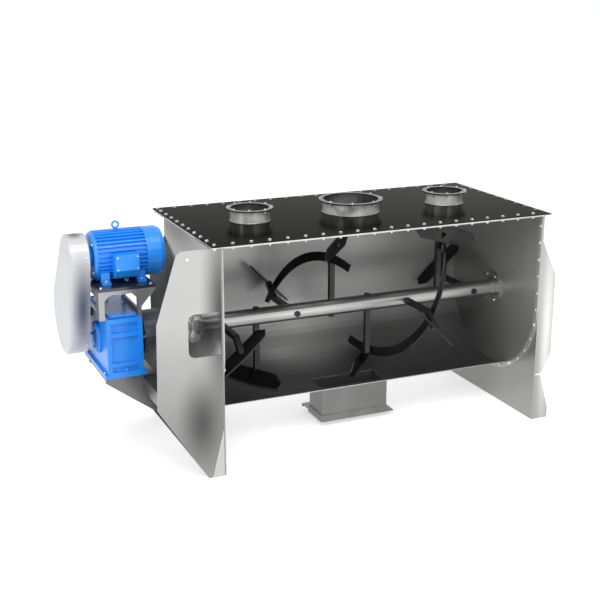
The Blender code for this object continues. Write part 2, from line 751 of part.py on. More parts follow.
def chute_collar():
    """Flat bar round the chute's mouth, with ledges under the slide gate."""
    inner_x = CHUTE_LENGTH / 2 + GATE_SIDE_PLAY
    inner_y = CHUTE_WIDTH / 2 + GATE_SIDE_PLAY
    x = (X_CENTRE - inner_x - COLLAR_WALL, X_CENTRE + inner_x + COLLAR_WALL)
    y = (-inner_y - COLLAR_WALL, inner_y + COLLAR_WALL)
    top = COLLAR_BOTTOM + COLLAR_HEIGHT
    obj = box("chute_collar", x, y, (COLLAR_BOTTOM, top), "brushed_steel")
    bore_x = (X_CENTRE - inner_x, X_CENTRE + inner_x)
    ledge_x = (bore_x[0] + GATE_LEDGE, bore_x[1] - GATE_LEDGE)
    ledge_y = (-inner_y + GATE_LEDGE, inner_y + 2 * COLLAR_WALL)
    ledge_top = GATE_BOTTOM - GAP
    bore = box("collar_bore", bore_x, (-inner_y, inner_y), (ledge_top, top + COLLAR_WALL))
    mouth = box("collar_mouth", ledge_x, ledge_y, (0.0, ledge_top + GAP))
    slot_y = (inner_y - GAP, inner_y + 2 * COLLAR_WALL)
    slot = box("gate_slot", bore_x, slot_y, (ledge_top - GAP, GATE_TOP + GAP))
    wing_x = (x[1] - COLLAR_WALL / 2, x[1] + COLLAR_WING)
    wing = box("collar_wing", wing_x, y, (COLLAR_BOTTOM, COLLAR_BOTTOM + COLLAR_WALL))
    cut(obj, bore, mouth, slot)
    return join(obj, wing)


def slide_gate():
    """Plate that closes the chute and pulls out to the rear by its lip."""
    half = CHUTE_LENGTH / 2
    x = (X_CENTRE - half, X_CENTRE + half)
    rear = CHUTE_WIDTH / 2 + GATE_TAIL
    obj = box("slide_gate", x, (-CHUTE_WIDTH / 2, rear), (GATE_BOTTOM, GATE_TOP), "brushed_steel")
    lip = box("gate_lip", x, (rear - GATE, rear), (GATE_BOTTOM - GATE_LIP, GATE_BOTTOM + GATE / 2))
    return join(obj, lip)


# Shaft line

def main_shaft():
    """Agitator shaft with a journal at each end, a collar and the arm holes."""
    shoulder_left = X_DRIVE_INNER + SEAL + RUN
    shoulder_right = X_FAR_INNER - SEAL - RUN
    left = X_DRIVE_OUTER - COUPLING_START - COUPLING_HALF + GAP
    right = X_FAR_OUTER + BEARING_DEPTH - SHAFT_END_CLEARANCE
    collar = shoulder_right - SHAFT_COLLAR
    stations = [
        (0.0, left),
        (JOURNAL_RADIUS, left),
        (JOURNAL_RADIUS, shoulder_left),
        (SHAFT_RADIUS, shoulder_left),
        (SHAFT_RADIUS, collar),
        (SHAFT_COLLAR_RADIUS, collar),
        (SHAFT_COLLAR_RADIUS, shoulder_right),
        (JOURNAL_RADIUS, shoulder_right),
        (JOURNAL_RADIUS, right),
        (0.0, right),
    ]
    obj = turned("main_shaft", stations, (0.0, 0.0, SHAFT_HEIGHT), 'X', TURNED_ROUND, "brushed_steel")
    holes = []
    for number, (x, angle) in enumerate(arm_places(), 1):
        hole = rod("arm_hole_%d" % number, (0, 0, 0), 4 * SHAFT_RADIUS, around(SHANK_RADIUS, 16) + GAP, 'Z', 16)
        out = Matrix.Translation((x, 0.0, SHAFT_HEIGHT)) @ Matrix.Rotation(angle, 4, 'X')
        hole.matrix_world = out @ Matrix.Translation((0.0, 0.0, -2 * SHAFT_RADIUS))
        holes.append(hole)
    return cut(obj, *holes)


def arm_places():
    """Place along X and turn about the shaft of each arm, from the drive end."""
    count = len(ARM_ANGLES)
    first = X_CENTRE - ARM_PITCH * (count - 1) / 2
    return [(first + ARM_PITCH * i, math.radians(turn - 90.0)) for i, turn in enumerate(ARM_ANGLES)]


def paddle_outline():
    """Blade outline along its length and out from the shaft: round outside, cut corners."""
    half = PADDLE_LENGTH / 2
    lean = math.sin(math.radians(PADDLE_HELIX))
    inner = PADDLE_TIP_RADIUS - PADDLE_WIDTH
    steps = 8
    reach = half - PADDLE_CHAMFER / 2
    outer = []
    for i in range(steps + 1):
        along = -reach + 2 * reach * i / steps
        outer.append((along, math.sqrt(PADDLE_TIP_RADIUS ** 2 - (along * lean) ** 2)))
    ends = outer[0][1] - PADDLE_CHAMFER
    right = [(half, ends), (half - PADDLE_CHAMFER, inner)]
    left = [(PADDLE_CHAMFER - half, inner), (-half, ends)]
    return outer + right + left


def paddle_arm(number, x, angle):
    """Bent square bar through the shaft, with its paddle welded on and a nut behind."""
    name = "paddle_arm_%d" % number
    bend = math.radians(ARM_BEND)
    half = ARM / 2
    miter = half * math.tan(bend / 2)
    root = SHAFT_RADIUS + GAP
    leg = Vector((-math.sin(bend), math.cos(bend)))
    side = Vector((leg.y, -leg.x)) * half
    tip = Vector((0.0, ARM_BEND_RADIUS)) + leg * ARM_LEG
    outline = [
        (-half, root),
        (half, root),
        (half, ARM_BEND_RADIUS + miter),
        tuple(tip + side),
        tuple(tip - side),
        (-half, ARM_BEND_RADIUS - miter),
    ]
    bar = plate(name, [outline], 'YZ', -half, half, "dark_steel")
    shank = rod(name + "_shank", (0, 0, 0), 2 * SHAFT_RADIUS + ARM_NUT + half, SHANK_RADIUS, 'Z', 16)
    nut = rod(name + "_nut", (0, 0, 0), ARM_NUT, ARM_NUT_RADIUS, 'Z', 16)
    # The nut sits just clear of the round shaft, along a line through its edge
    seat = SHAFT_RADIUS + GAP
    shank.matrix_world = Matrix.Translation((0.0, 0.0, -seat - ARM_NUT / 2))
    nut.matrix_world = Matrix.Translation((0.0, 0.0, -seat - ARM_NUT))
    hand = 1.0 if number <= len(ARM_ANGLES) // 2 else -1.0
    blade = plate(name + "_blade", [paddle_outline()], 'XZ', -PADDLE / 2, PADDLE / 2)
    lean = Matrix.Rotation(math.atan2(-tip.x, tip.y), 4, 'X')
    twist = Matrix.Rotation(hand * math.radians(PADDLE_HELIX), 4, 'Z')
    blade.matrix_world = lean @ twist @ blade.matrix_world
    join(bar, shank, nut, blade)
    place = Matrix.Translation((x, 0.0, SHAFT_HEIGHT)) @ Matrix.Rotation(angle, 4, 'X')
    for piece in (bar, shank, nut, blade):
        piece.matrix_world = place @ piece.matrix_world
    return bar


def ribbon(name, first, last, start_tail, end_tail, side):
    """Helical flight beside the arms, from one arm to another and a little past them."""
    places = arm_places()
    x_start, turn_start = places[first][0], ARM_ANGLES[first]
    x_end, turn_end = places[last][0], ARM_ANGLES[last]
    if first < len(ARM_ANGLES) // 2 and turn_end < turn_start:
        turn_end += 360.0
    slope = (x_end - x_start) / (turn_end - turn_start)
    way = math.copysign(1.0, turn_end - turn_start)
    begin = turn_start - way * start_tail
    finish = turn_end + way * end_tail
    steps = max(6, int(abs(finish - begin) / 7.5))
    lean = abs(slope) * 180.0 / math.pi / RIBBON_OUTER
    # The flight lies against the bent leg, so its slope is taken at the leg's far corner
    bend = math.radians(ARM_BEND)
    ahead = max(0.0, RIBBON_OUTER - ARM_BEND_RADIUS) * math.tan(bend) + ARM / 2 / math.cos(bend)
    offset = side * (ARM / 2 + ahead * lean + RIBBON / 2 * math.sqrt(1.0 + lean ** 2) + GAP - RIBBON_TUCK)
    bm = bmesh.new()
    rows = []
    for i in range(steps + 1):
        turn = begin + (finish - begin) * i / steps
        angle = math.radians(turn)
        x = x_start + slope * (turn - turn_start) + offset
        row = []
        for radius in (RIBBON_OUTER - RIBBON_WIDTH, RIBBON_OUTER):
            point = (x, radius * math.cos(angle), SHAFT_HEIGHT + radius * math.sin(angle))
            row.append(bm.verts.new(point))
        rows.append(row)
    for a, b in zip(rows, rows[1:]):
        bm.faces.new((a[0], a[1], b[1], b[0]))
    bmesh.ops.recalc_face_normals(bm, faces=bm.faces)
    mesh = bpy.data.meshes.new(name)
    bm.to_mesh(mesh)
    bm.free()
    obj = add_object(name, mesh, "dark_steel")
    wall = obj.modifiers.new("thickness", 'SOLIDIFY')
    wall.thickness = RIBBON
    wall.offset = 0.0
    return obj


def seal_flange(name, low):
    """Round seal carrier on the inner face of an end plate."""
    profile = [
        (JOURNAL_RADIUS + RUN, 0.0),
        (SEAL_RADIUS, 0.0),
        (SEAL_RADIUS, SEAL),
        (JOURNAL_RADIUS + RUN, SEAL),
    ]
    return turned(name, profile, (low, 0.0, SHAFT_HEIGHT), 'X', TURNED_ROUND, "brushed_steel")


def bearing(name, face, way, closed):
    """Round flanged bearing unit on the outside of an end plate."""
    bore = around(JOURNAL_RADIUS) + GAP
    chamfer = BEARING_BOSS_RADIUS / 8
    profile = [
        (bore, 0.0),
        (BEARING_RADIUS, 0.0),
        (BEARING_RADIUS, BEARING_FLANGE),
        (BEARING_BOSS_RADIUS + chamfer, BEARING_FLANGE),
        (BEARING_BOSS_RADIUS, BEARING_FLANGE + chamfer),
        (BEARING_BOSS_RADIUS, BEARING_DEPTH - chamfer),
        (BEARING_BOSS_RADIUS - chamfer, BEARING_DEPTH),
    ]
    if closed:
        inside = BEARING_DEPTH - SHAFT_END_CLEARANCE + GAP
        profile += [(0.0, BEARING_DEPTH), (0.0, inside), (bore, inside)]
    else:
        profile += [(bore, BEARING_DEPTH)]
    if way < 0:
        profile = [(radius, -height) for radius, height in profile]
    return turned(name, profile, (face, 0.0, SHAFT_HEIGHT), 'X', TURNED_ROUND, "grey_iron")


def coupling_half(name, face, way, bore):
    """One half of the rigid flange coupling, from the joint face outwards."""
    profile = [
        (around(bore) + GAP, 0.0),
        (COUPLING_RADIUS, 0.0),
        (COUPLING_RADIUS, COUPLING_HALF - COUPLING_HUB),
        (COUPLING_HUB_RADIUS, COUPLING_HALF - COUPLING_HUB),
        (COUPLING_HUB_RADIUS, COUPLING_HALF),
        (around(bore) + GAP, COUPLING_HALF),
    ]
    profile = [(radius, way * height) for radius, height in profile]
    return turned(name, profile, (face, 0.0, SHAFT_HEIGHT), 'X', TURNED_ROUND, "grey_iron")


def coupling_face():
    return X_DRIVE_OUTER - COUPLING_START - COUPLING_HALF


# Gearbox

def gearbox_housing():
    """Cast housing with side ribs, a recessed front, feet and two shaft bores."""
    x = (X_GEARBOX_LEFT, X_GEARBOX_RIGHT)
    y = (-GEARBOX_FRONT, GEARBOX_REAR)
    z = (GEARBOX_BOTTOM - GEARBOX_FOOT, GEARBOX_TOP)
    obj = box("gearbox_housing", x, y, z, "blue_paint")
    rib_x = (x[0] + GEARBOX_RIB, x[1] - GEARBOX_RIB)
    fronts = (
        (GEARBOX_TOP - 0.076, GEARBOX_TOP - 0.026),
        (GEARBOX_BOTTOM + 0.062, GEARBOX_TOP - 0.100),
        (GEARBOX_BOTTOM + GEARBOX_RIB / 2, GEARBOX_BOTTOM + 0.040),
    )
    for number, height in enumerate(fronts, 1):
        for side, face in (("front", y[0]), ("rear", y[1])):
            depth = (face - GEARBOX_RECESS, face + GEARBOX_RECESS)
            cut(obj, box("recess_%s_%d" % (side, number), rib_x, depth, height))
    waist_z = (GEARBOX_BOTTOM + GEARBOX_RIB, GEARBOX_TOP - GEARBOX_RIB)
    waist_y = (y[0] + GEARBOX_RIB, y[1] - GEARBOX_RIB)
    right = (x[1] - GEARBOX_RECESS / 2, x[1] + GEARBOX_RECESS)
    cut(obj, box("side_recess", right, waist_y, waist_z))
    bearing_boss = rod("output_boss", (x[1] - GEARBOX_RIB, 0.0, SHAFT_HEIGHT), GEARBOX_RIB,
                       END_COVER_RADIUS * 0.75, sides=TURNED_ROUND)
    join(obj, bearing_boss)
    foot_z = (z[0], z[0] + GEARBOX_FOOT)
    for side, face in ((-1, x[0]), (1, x[1])):
        foot_x = sorted((face - side * GEARBOX_RIB, face + side * GEARBOX_FOOT_REACH / 2))
        join(obj, box("foot_%s" % ("left" if side < 0 else "right"), foot_x, y, foot_z))
    out_start = (x[1] - OUTPUT_DEPTH - GAP, 0.0, SHAFT_HEIGHT)
    out_reach = OUTPUT_DEPTH + GEARBOX_RIB
    out_bore = rod("output_bore", out_start, out_reach, around(OUTPUT_RADIUS) + GAP, sides=TURNED_ROUND)
    in_start = (x[0] - GEARBOX_RIB, INPUT_OFFSET, INPUT_HEIGHT)
    in_reach = INPUT_DEPTH + GEARBOX_RIB + GAP
    in_bore = rod("input_bore", in_start, in_reach, around(INPUT_RADIUS) + GAP, sides=TURNED_ROUND)
    return cut(obj, out_bore, in_bore)


def gearbox_top_cover():
    """Low cover bolted on the top of the gearbox, between the bracket's side plates."""
    x = (X_GEARBOX_LEFT + BRACKET + GEARBOX_RIB / 2, X_GEARBOX_RIGHT - BRACKET - GEARBOX_RIB / 2)
    y = (-GEARBOX_FRONT + GEARBOX_RIB, GEARBOX_REAR - 2 * GEARBOX_RIB)
    low = GEARBOX_TOP + GAP
    obj = box("gearbox_top_cover", x, y, (low, low + TOP_COVER), "blue_paint")
    return bevel(obj, TOP_COVER / 3)


def gearbox_end_cover():
    """Round cover over the output bearing, on the belt side of the gearbox."""
    chamfer = END_COVER / 3
    profile = [
        (0.0, 0.0),
        (END_COVER_RADIUS, 0.0),
        (END_COVER_RADIUS, -END_COVER + chamfer),
        (END_COVER_RADIUS - chamfer, -END_COVER),
        (END_COVER_RADIUS / 2, -END_COVER),
        (END_COVER_RADIUS / 2 - chamfer, -END_COVER + chamfer),
        (0.0, -END_COVER + chamfer),
    ]
    place = (X_GEARBOX_LEFT - GAP, 0.0, SHAFT_HEIGHT)
    return turned("gearbox_end_cover", profile, place, material="blue_paint")


def gearbox_output_shaft():
    start = X_GEARBOX_RIGHT - OUTPUT_DEPTH
    length = coupling_face() - GAP - start
    place = (start, 0.0, SHAFT_HEIGHT)
    return rod("gearbox_output_shaft", place, length, OUTPUT_RADIUS, 'X', TURNED_ROUND, "grey_iron")


def gearbox_input_shaft():
    end = X_GEARBOX_LEFT + INPUT_DEPTH
    start = X_PULLEY_LEFT - GEARBOX_RIB / 4
    place = (start, INPUT_OFFSET, INPUT_HEIGHT)
    return rod("gearbox_input_shaft", place, end - start, INPUT_RADIUS, 'X', TURNED_ROUND, "grey_iron")


# Motor

def motor_frame():
    """Finned body with feet and a bore right through for its shaft."""
    pitch = 360.0 / MOTOR_FINS
    half = pitch * MOTOR_FIN_SHARE / 2
    outline = []
    for i in range(MOTOR_FINS):
        middle = i * pitch
        for radius, angle in (
            (MOTOR_RADIUS, middle - half * 1.25),
            (MOTOR_RADIUS + MOTOR_FIN, middle - half * 0.7),
            (MOTOR_RADIUS + MOTOR_FIN, middle + half * 0.7),
            (MOTOR_RADIUS, middle + half * 1.25),
        ):
            turn = math.radians(angle)
            outline.append((radius * math.cos(turn), MOTOR_HEIGHT + radius * math.sin(turn)))
    bore = circle((0.0, MOTOR_HEIGHT), MOTOR_SHAFT_RADIUS + RUN, SMALL_ROUND)
    obj = plate("motor_frame", [outline, bore], 'YZ', X_FRAME_LEFT, X_FRAME_RIGHT, "blue_paint")
    low = MOTOR_HEIGHT - MOTOR_SHAFT_HEIGHT
    for side, name in ((-1, "front"), (1, "rear")):
        for place, end in ((X_FRAME_LEFT + FOOT_INSET, "left"), (X_FRAME_RIGHT - FOOT_INSET - FOOT_LENGTH, "right")):
            x = (place, place + FOOT_LENGTH)
            y = sorted((side * (FOOT_SPREAD - FOOT_WIDTH / 2), side * (FOOT_SPREAD + FOOT_WIDTH / 2)))
            foot = box("foot_%s_%s" % (name, end), x, y, (low, low + FOOT))
            leg_y = sorted((side * (FOOT_SPREAD - FOOT_WIDTH / 2), side * FOOT_SPREAD))
            leg = box("leg_%s_%s" % (name, end), x, leg_y, (low + FOOT / 2, MOTOR_HEIGHT - MOTOR_RADIUS / 2))
            join(obj, foot, leg)
    pad_x = terminal_limits()
    pad_y = (-MOTOR_RADIUS - MOTOR_FIN - RUN, -MOTOR_RADIUS / 2)
    pad_z = (terminal_middle() - TERMINAL_HEIGHT / 2, terminal_middle() + TERMINAL_HEIGHT / 2)
    join(obj, box("terminal_pad", pad_x, pad_y, pad_z))
    hoist_x = X_FRAME_LEFT + EYE_PLACE
    top = MOTOR_HEIGHT + MOTOR_RADIUS + MOTOR_FIN + RUN
    boss = rod("hoist_boss", (hoist_x, 0.0, MOTOR_HEIGHT + MOTOR_RADIUS / 2), top - MOTOR_HEIGHT - MOTOR_RADIUS / 2,
               EYE_RADIUS, 'Z', 16)
    return join(obj, boss)


def terminal_limits():
    start = X_FRAME_LEFT + TERMINAL_PLACE
    return (start, start + TERMINAL_LENGTH)


def terminal_middle():
    return MOTOR_HEIGHT + TERMINAL_RISE


def motor_drive_shield():
    """End shield on the pulley side, with its bearing boss."""
    bore = around(MOTOR_SHAFT_RADIUS) + GAP
    step = MOTOR_SHIELD / 3
    profile = [
        (bore, MOTOR_SHIELD),
        (MOTOR_SHIELD_RADIUS, MOTOR_SHIELD),
        (MOTOR_SHIELD_RADIUS, step * 2),
        (MOTOR_SHIELD_RADIUS - step, step),
        (MOTOR_BOSS_RADIUS, step),
        (MOTOR_BOSS_RADIUS - step / 2, 0.0),
        (bore, 0.0),
    ]
    place = (X_SHIELD_LEFT, 0.0, MOTOR_HEIGHT)
    return turned("motor_drive_shield", profile, place, material="blue_paint")


def motor_fan_cowl():
    """Sheet cowl over the fan, domed and pierced at its end."""
    wall = COWL_WALL
    outer = COWL_RADIUS
    straight = COWL_LENGTH - COWL_DOME
    face = outer - COWL_DOME * 1.2
    profile = [
        (outer - wall, 0.0),
        (outer, 0.0),
        (outer, straight),
        (outer - COWL_DOME * 0.35, straight + COWL_DOME * 0.7),
        (face, COWL_LENGTH),
        (0.0, COWL_LENGTH),
        (0.0, COWL_LENGTH - wall),
        (face - wall / 2, COWL_LENGTH - wall),
        (outer - COWL_DOME * 0.35 - wall, straight + COWL_DOME * 0.7 - wall / 2),
        (outer - wall, straight),
    ]
    left = X_FRAME_RIGHT + GAP
    obj = turned("motor_fan_cowl", profile, (left, 0.0, MOTOR_HEIGHT), material="blue_paint")
    start = left + COWL_LENGTH - 2 * COWL_DOME
    rings = ((face * 0.78, COWL_HOLES), (face * 0.46, COWL_HOLES // 2))
    for ring, (radius, count) in enumerate(rings, 1):
        for i in range(count):
            turn = math.tau * (i + 0.5) / count
            place = (start, radius * math.cos(turn), MOTOR_HEIGHT + radius * math.sin(turn))
            name = "intake_%d_%d" % (ring, i + 1)
            cut(obj, rod(name, place, 3 * COWL_DOME, COWL_HOLE_RADIUS, 'X', 8))
    return obj


def motor_fan():
    """Cooling fan on the tail of the motor shaft."""
    left = X_FRAME_RIGHT + COWL_LENGTH * 0.35
    bore = around(MOTOR_SHAFT_RADIUS) + GAP
    profile = [
        (bore, 0.0),
        (FAN_RADIUS, 0.0),
        (FAN_RADIUS, COWL_WALL),
        (FAN_HUB_RADIUS, COWL_WALL),
        (FAN_HUB_RADIUS, FAN_DEPTH),
        (bore, FAN_DEPTH),
    ]
    obj = turned("motor_fan", profile, (left, 0.0, MOTOR_HEIGHT), material="grey_iron")
    for i in range(FAN_BLADES):
        x = (COWL_WALL / 2, FAN_DEPTH)
        y = (-COWL_WALL / 2, COWL_WALL / 2)
        blade = box("fan_blade_%d" % (i + 1), x, y, (FAN_HUB_RADIUS - COWL_WALL, FAN_RADIUS - COWL_WALL))
        spin = Matrix.Rotation(math.tau * (i + 0.5) / FAN_BLADES, 4, 'X')
        blade.matrix_world = Matrix.Translation((left, 0.0, MOTOR_HEIGHT)) @ spin @ blade.matrix_basis
        join(obj, blade)
    return obj


def motor_shaft():
    end = X_FRAME_RIGHT + COWL_LENGTH * 0.35 + FAN_DEPTH + COWL_WALL
    start = X_PULLEY_LEFT - COWL_WALL * 2
    place = (start, 0.0, MOTOR_HEIGHT)
    return rod("motor_shaft", place, end - start, MOTOR_SHAFT_RADIUS, 'X', TURNED_ROUND, "grey_iron")


def terminal_box():
    """Wiring box on the motor's front side, with a sloped cable base."""
    x = terminal_limits()
    middle = terminal_middle()
    back = -MOTOR_RADIUS - MOTOR_FIN - RUN - GAP
    front = back - TERMINAL_REACH
    top = middle + TERMINAL_HEIGHT / 2
    low = middle - TERMINAL_HEIGHT / 2
    outline = [
        (back, low - TERMINAL_HEIGHT * 0.30),
        (back, top),
        (front, top),
        (front, low + TERMINAL_HEIGHT * 0.15),
        (back - TERMINAL_REACH * 0.35, low - TERMINAL_HEIGHT * 0.30),
    ]
    obj = plate("terminal_box", [outline], 'YZ', *x, "blue_paint")
    return bevel(obj, TERMINAL_REACH / 20)


def terminal_box_lid():
    x = terminal_limits()
    middle = terminal_middle()
    front = -MOTOR_RADIUS - MOTOR_FIN - RUN - 2 * GAP - TERMINAL_REACH
    z = (middle - TERMINAL_HEIGHT * 0.33, middle + TERMINAL_HEIGHT / 2)
    obj = box("terminal_box_lid", x, (front - TERMINAL_LID, front), z, "blue_paint")
    return bevel(obj, TERMINAL_LID / 4)


def eyebolt():
    """Lifting eye on the top of the motor."""
    x = X_FRAME_LEFT + EYE_PLACE
    foot = MOTOR_HEIGHT + MOTOR_RADIUS + MOTOR_FIN + RUN + GAP
    middle = foot + EYE_STEM + EYE_RADIUS - EYE_WIRE
    bpy.ops.mesh.primitive_torus_add(
        major_radius=EYE_RADIUS,
        minor_radius=EYE_WIRE,
        major_segments=18,
        minor_segments=6,
        location=(x, 0.0, middle),
        rotation=(math.pi / 2, 0.0, 0.0),
    )
    ring = bpy.context.active_object
    ring.name = "eye_ring"
    stem = rod("eyebolt", (x, 0.0, foot), EYE_STEM, EYE_WIRE * 2, 'Z', SMALL_ROUND, "grey_iron")
    return join(stem, ring)


# Motor plate and bracket

def motor_plate():
    x = (X_MOTOR_PLATE_LEFT, X_MOTOR_PLATE_RIGHT)
    y = (-MOTOR_PLATE_FRONT, MOTOR_PLATE_REAR)
    z = (Z_MOTOR_PLATE_BOTTOM, Z_MOTOR_PLATE_TOP)
    return box("motor_plate", x, y, z, "pale_paint")


def bracket_side_left():
    """Side plate at the belt end between the gearbox top and the motor plate, slotted."""
    bottom = GEARBOX_TOP + GAP
    top = Z_MOTOR_PLATE_BOTTOM - GAP
    y = (-MOTOR_PLATE_FRONT, MOTOR_PLATE_REAR)
    slot_y = (y[0] + BRACKET_LEG, y[1] - BRACKET_LEG)
    slot = rectangle(slot_y, (bottom + BRACKET_RAIL, top - BRACKET_RAIL))
    low = X_MOTOR_PLATE_LEFT
    return plate("bracket_side_left", [rectangle(y, (bottom, top)), slot], 'YZ', low, low + BRACKET, "pale_paint")


def motor_bracket():
    """Front plate with its opening and corner web, bent into the drum side's plate."""
    bottom = GEARBOX_TOP + GAP
    top = Z_MOTOR_PLATE_BOTTOM - GAP
    left = X_MOTOR_PLATE_LEFT + BRACKET + GAP
    right = X_GEARBOX_RIGHT
    front = (-MOTOR_PLATE_FRONT, -MOTOR_PLATE_FRONT + BRACKET)
    outline = [
        (left, bottom),
        (right, bottom),
        (right, top - BRACKET_WEB),
        (X_MOTOR_PLATE_RIGHT, top - BRACKET),
        (X_MOTOR_PLATE_RIGHT, top),
        (left, top),
    ]
    inner = (left + BRACKET_POST, right - BRACKET_POST)
    head = top - BRACKET_POST
    opening = [
        (inner[0], bottom - BRACKET),
        (inner[1], bottom - BRACKET),
        (inner[1], head - BRACKET_CORNER),
        (inner[1] - BRACKET_CORNER, head),
        (inner[0] + BRACKET_CORNER, head),
        (inner[0], head - BRACKET_CORNER),
    ]
    obj = plate("motor_bracket", [outline], 'XZ', *front, "pale_paint")
    cut(obj, plate("bracket_opening", [opening], 'XZ', front[0] - BRACKET, front[1] + BRACKET))
    y = (front[0] + BRACKET / 2, MOTOR_PLATE_REAR)
    window_y = (y[0] + BRACKET_LEG, y[1] - BRACKET_LEG)
    window = rectangle(window_y, (bottom + BRACKET_RAIL, top - BRACKET_RAIL))
    side = plate("bracket_side", [rectangle(y, (bottom, top)), window], 'YZ', right - BRACKET, right)
    return join(obj, side)


# Belt drive

def groove_places():
    middle = (X_PULLEY_LEFT + X_PULLEY_RIGHT) / 2
    first = middle - GROOVE_PITCH * (GROOVES - 1) / 2
    return [first + GROOVE_PITCH * i for i in range(GROOVES)]


def pulley(name, radius, bore, y, z):
    """V-belt pulley with its grooves turned into the rim."""
    width = PULLEY_WIDTH
    inner = around(bore) + GAP
    profile = [(inner, 0.0), (radius, 0.0)]
    for place in groove_places():
        middle = place - X_PULLEY_LEFT
        profile += [
            (radius, middle - GROOVE_TOP / 2),
            (radius - GROOVE_DEPTH, middle - GROOVE_BOTTOM / 2),
            (radius - GROOVE_DEPTH, middle + GROOVE_BOTTOM / 2),
            (radius, middle + GROOVE_TOP / 2),
        ]
    profile += [(radius, width), (inner, width)]
    return turned(name, profile, (X_PULLEY_LEFT, y, z), material="grey_iron")


def belt_path(small, large, steps=18):
    """Open belt line round both pulleys, as (y, z) points."""
    centre_small = Vector((0.0, MOTOR_HEIGHT))
    centre_large = Vector((INPUT_OFFSET, INPUT_HEIGHT))
    across = centre_large - centre_small
    heading = math.atan2(across.y, across.x)
    open_angle = math.acos((small - large) / across.length)
    points = []
    for centre, radius, start, end in (
        (centre_small, small, heading + open_angle, heading + math.tau - open_angle),
        (centre_large, large, heading - open_angle, heading + open_angle),
    ):
        for i in range(steps + 1):
            turn = start + (end - start) * i / steps
            points.append((centre.x + radius * math.cos(turn), centre.y + radius * math.sin(turn)))
    return points


def belt(number, place):
    """One V-belt, a closed band whose sides slope like the grooves."""
    levels = (
        (BELT_SEAT - BELT_DEPTH, BELT_WIDTH_BOTTOM),
        (BELT_SEAT, BELT_WIDTH_TOP),
    )
    bm = bmesh.new()
    rings = []
    for lift, width in levels:
        path = belt_path(SMALL_PULLEY_RADIUS + lift, LARGE_PULLEY_RADIUS + lift)
        for side in (-1, 1):
            rings.append([bm.verts.new((place + side * width / 2, y, z)) for y, z in path])
    inner_left, inner_right, outer_left, outer_right = rings
    order = (inner_left, inner_right, outer_right, outer_left)
    for a, b in zip(order, order[1:] + order[:1]):
        for i in range(len(a)):
            j = (i + 1) % len(a)
            bm.faces.new((a[i], a[j], b[j], b[i]))
    bmesh.ops.recalc_face_normals(bm, faces=bm.faces)
    mesh = bpy.data.meshes.new("v_belt_%d" % number)
    bm.to_mesh(mesh)
    bm.free()
    return add_object("v_belt_%d" % number, mesh, "black_rubber")


def guard_outline(inset):
    return belt_path(GUARD_UPPER_RADIUS - inset, GUARD_LOWER_RADIUS - inset, 16)


def guard_cover():
    """Sheet tray over the belts with a rounded outer edge, open towards the drive."""
    mouth = X_GUARD_INNER - GUARD_BACK - GAP
    rings = [(GUARD_EDGE, X_GUARD_OUTER)]
    for turn in (math.radians(45.0), math.radians(90.0)):
        inset = GUARD_EDGE * (1.0 - math.sin(turn))
        rings.append((inset, X_GUARD_OUTER + GUARD_EDGE * (1.0 - math.cos(turn))))
    rings.append((0.0, mouth))
    bm = bmesh.new()
    loops = []
    for inset, x in rings:
        loops.append([bm.verts.new((x, y, z)) for y, z in guard_outline(inset)])
    bm.faces.new(loops[0])
    for a, b in zip(loops, loops[1:]):
        for i in range(len(a)):
            j = (i + 1) % len(a)
            bm.faces.new((a[i], a[j], b[j], b[i]))
    bmesh.ops.recalc_face_normals(bm, faces=bm.faces)
    mesh = bpy.data.meshes.new("guard_cover")
    bm.to_mesh(mesh)
    bm.free()
    obj = add_object("guard_cover", mesh, "pale_paint")
    wall = obj.modifiers.new("wall", 'SOLIDIFY')
    wall.thickness = GUARD_WALL
    wall.offset = -1.0
    wall.use_even_offset = True
    return obj


def guard_back_plate():
    """Flat back of the guard with its shaft holes and stand-offs to the bracket."""
    small = circle((0.0, MOTOR_HEIGHT), MOTOR_SHAFT_RADIUS * 1.6, SMALL_ROUND)
    large = circle((INPUT_OFFSET, INPUT_HEIGHT), INPUT_RADIUS * 1.6, SMALL_ROUND)
    low = X_GUARD_INNER - GUARD_BACK
    obj = plate("guard_back_plate", [guard_outline(0.0), small, large], 'YZ', low, X_GUARD_INNER, "pale_paint")
    rail = Z_MOTOR_PLATE_BOTTOM - BRACKET_RAIL / 2
    length = X_MOTOR_PLATE_LEFT - GAP - X_GUARD_INNER + GUARD_BACK / 2
    for number, y in enumerate((-BRACKET_LEG, BRACKET_LEG), 1):
        start = (X_GUARD_INNER - GUARD_BACK / 2, y, rail)
        join(obj, rod("standoff_%d" % number, start, length, GUARD_STANDOFF_RADIUS, 'X', 12))
    return obj


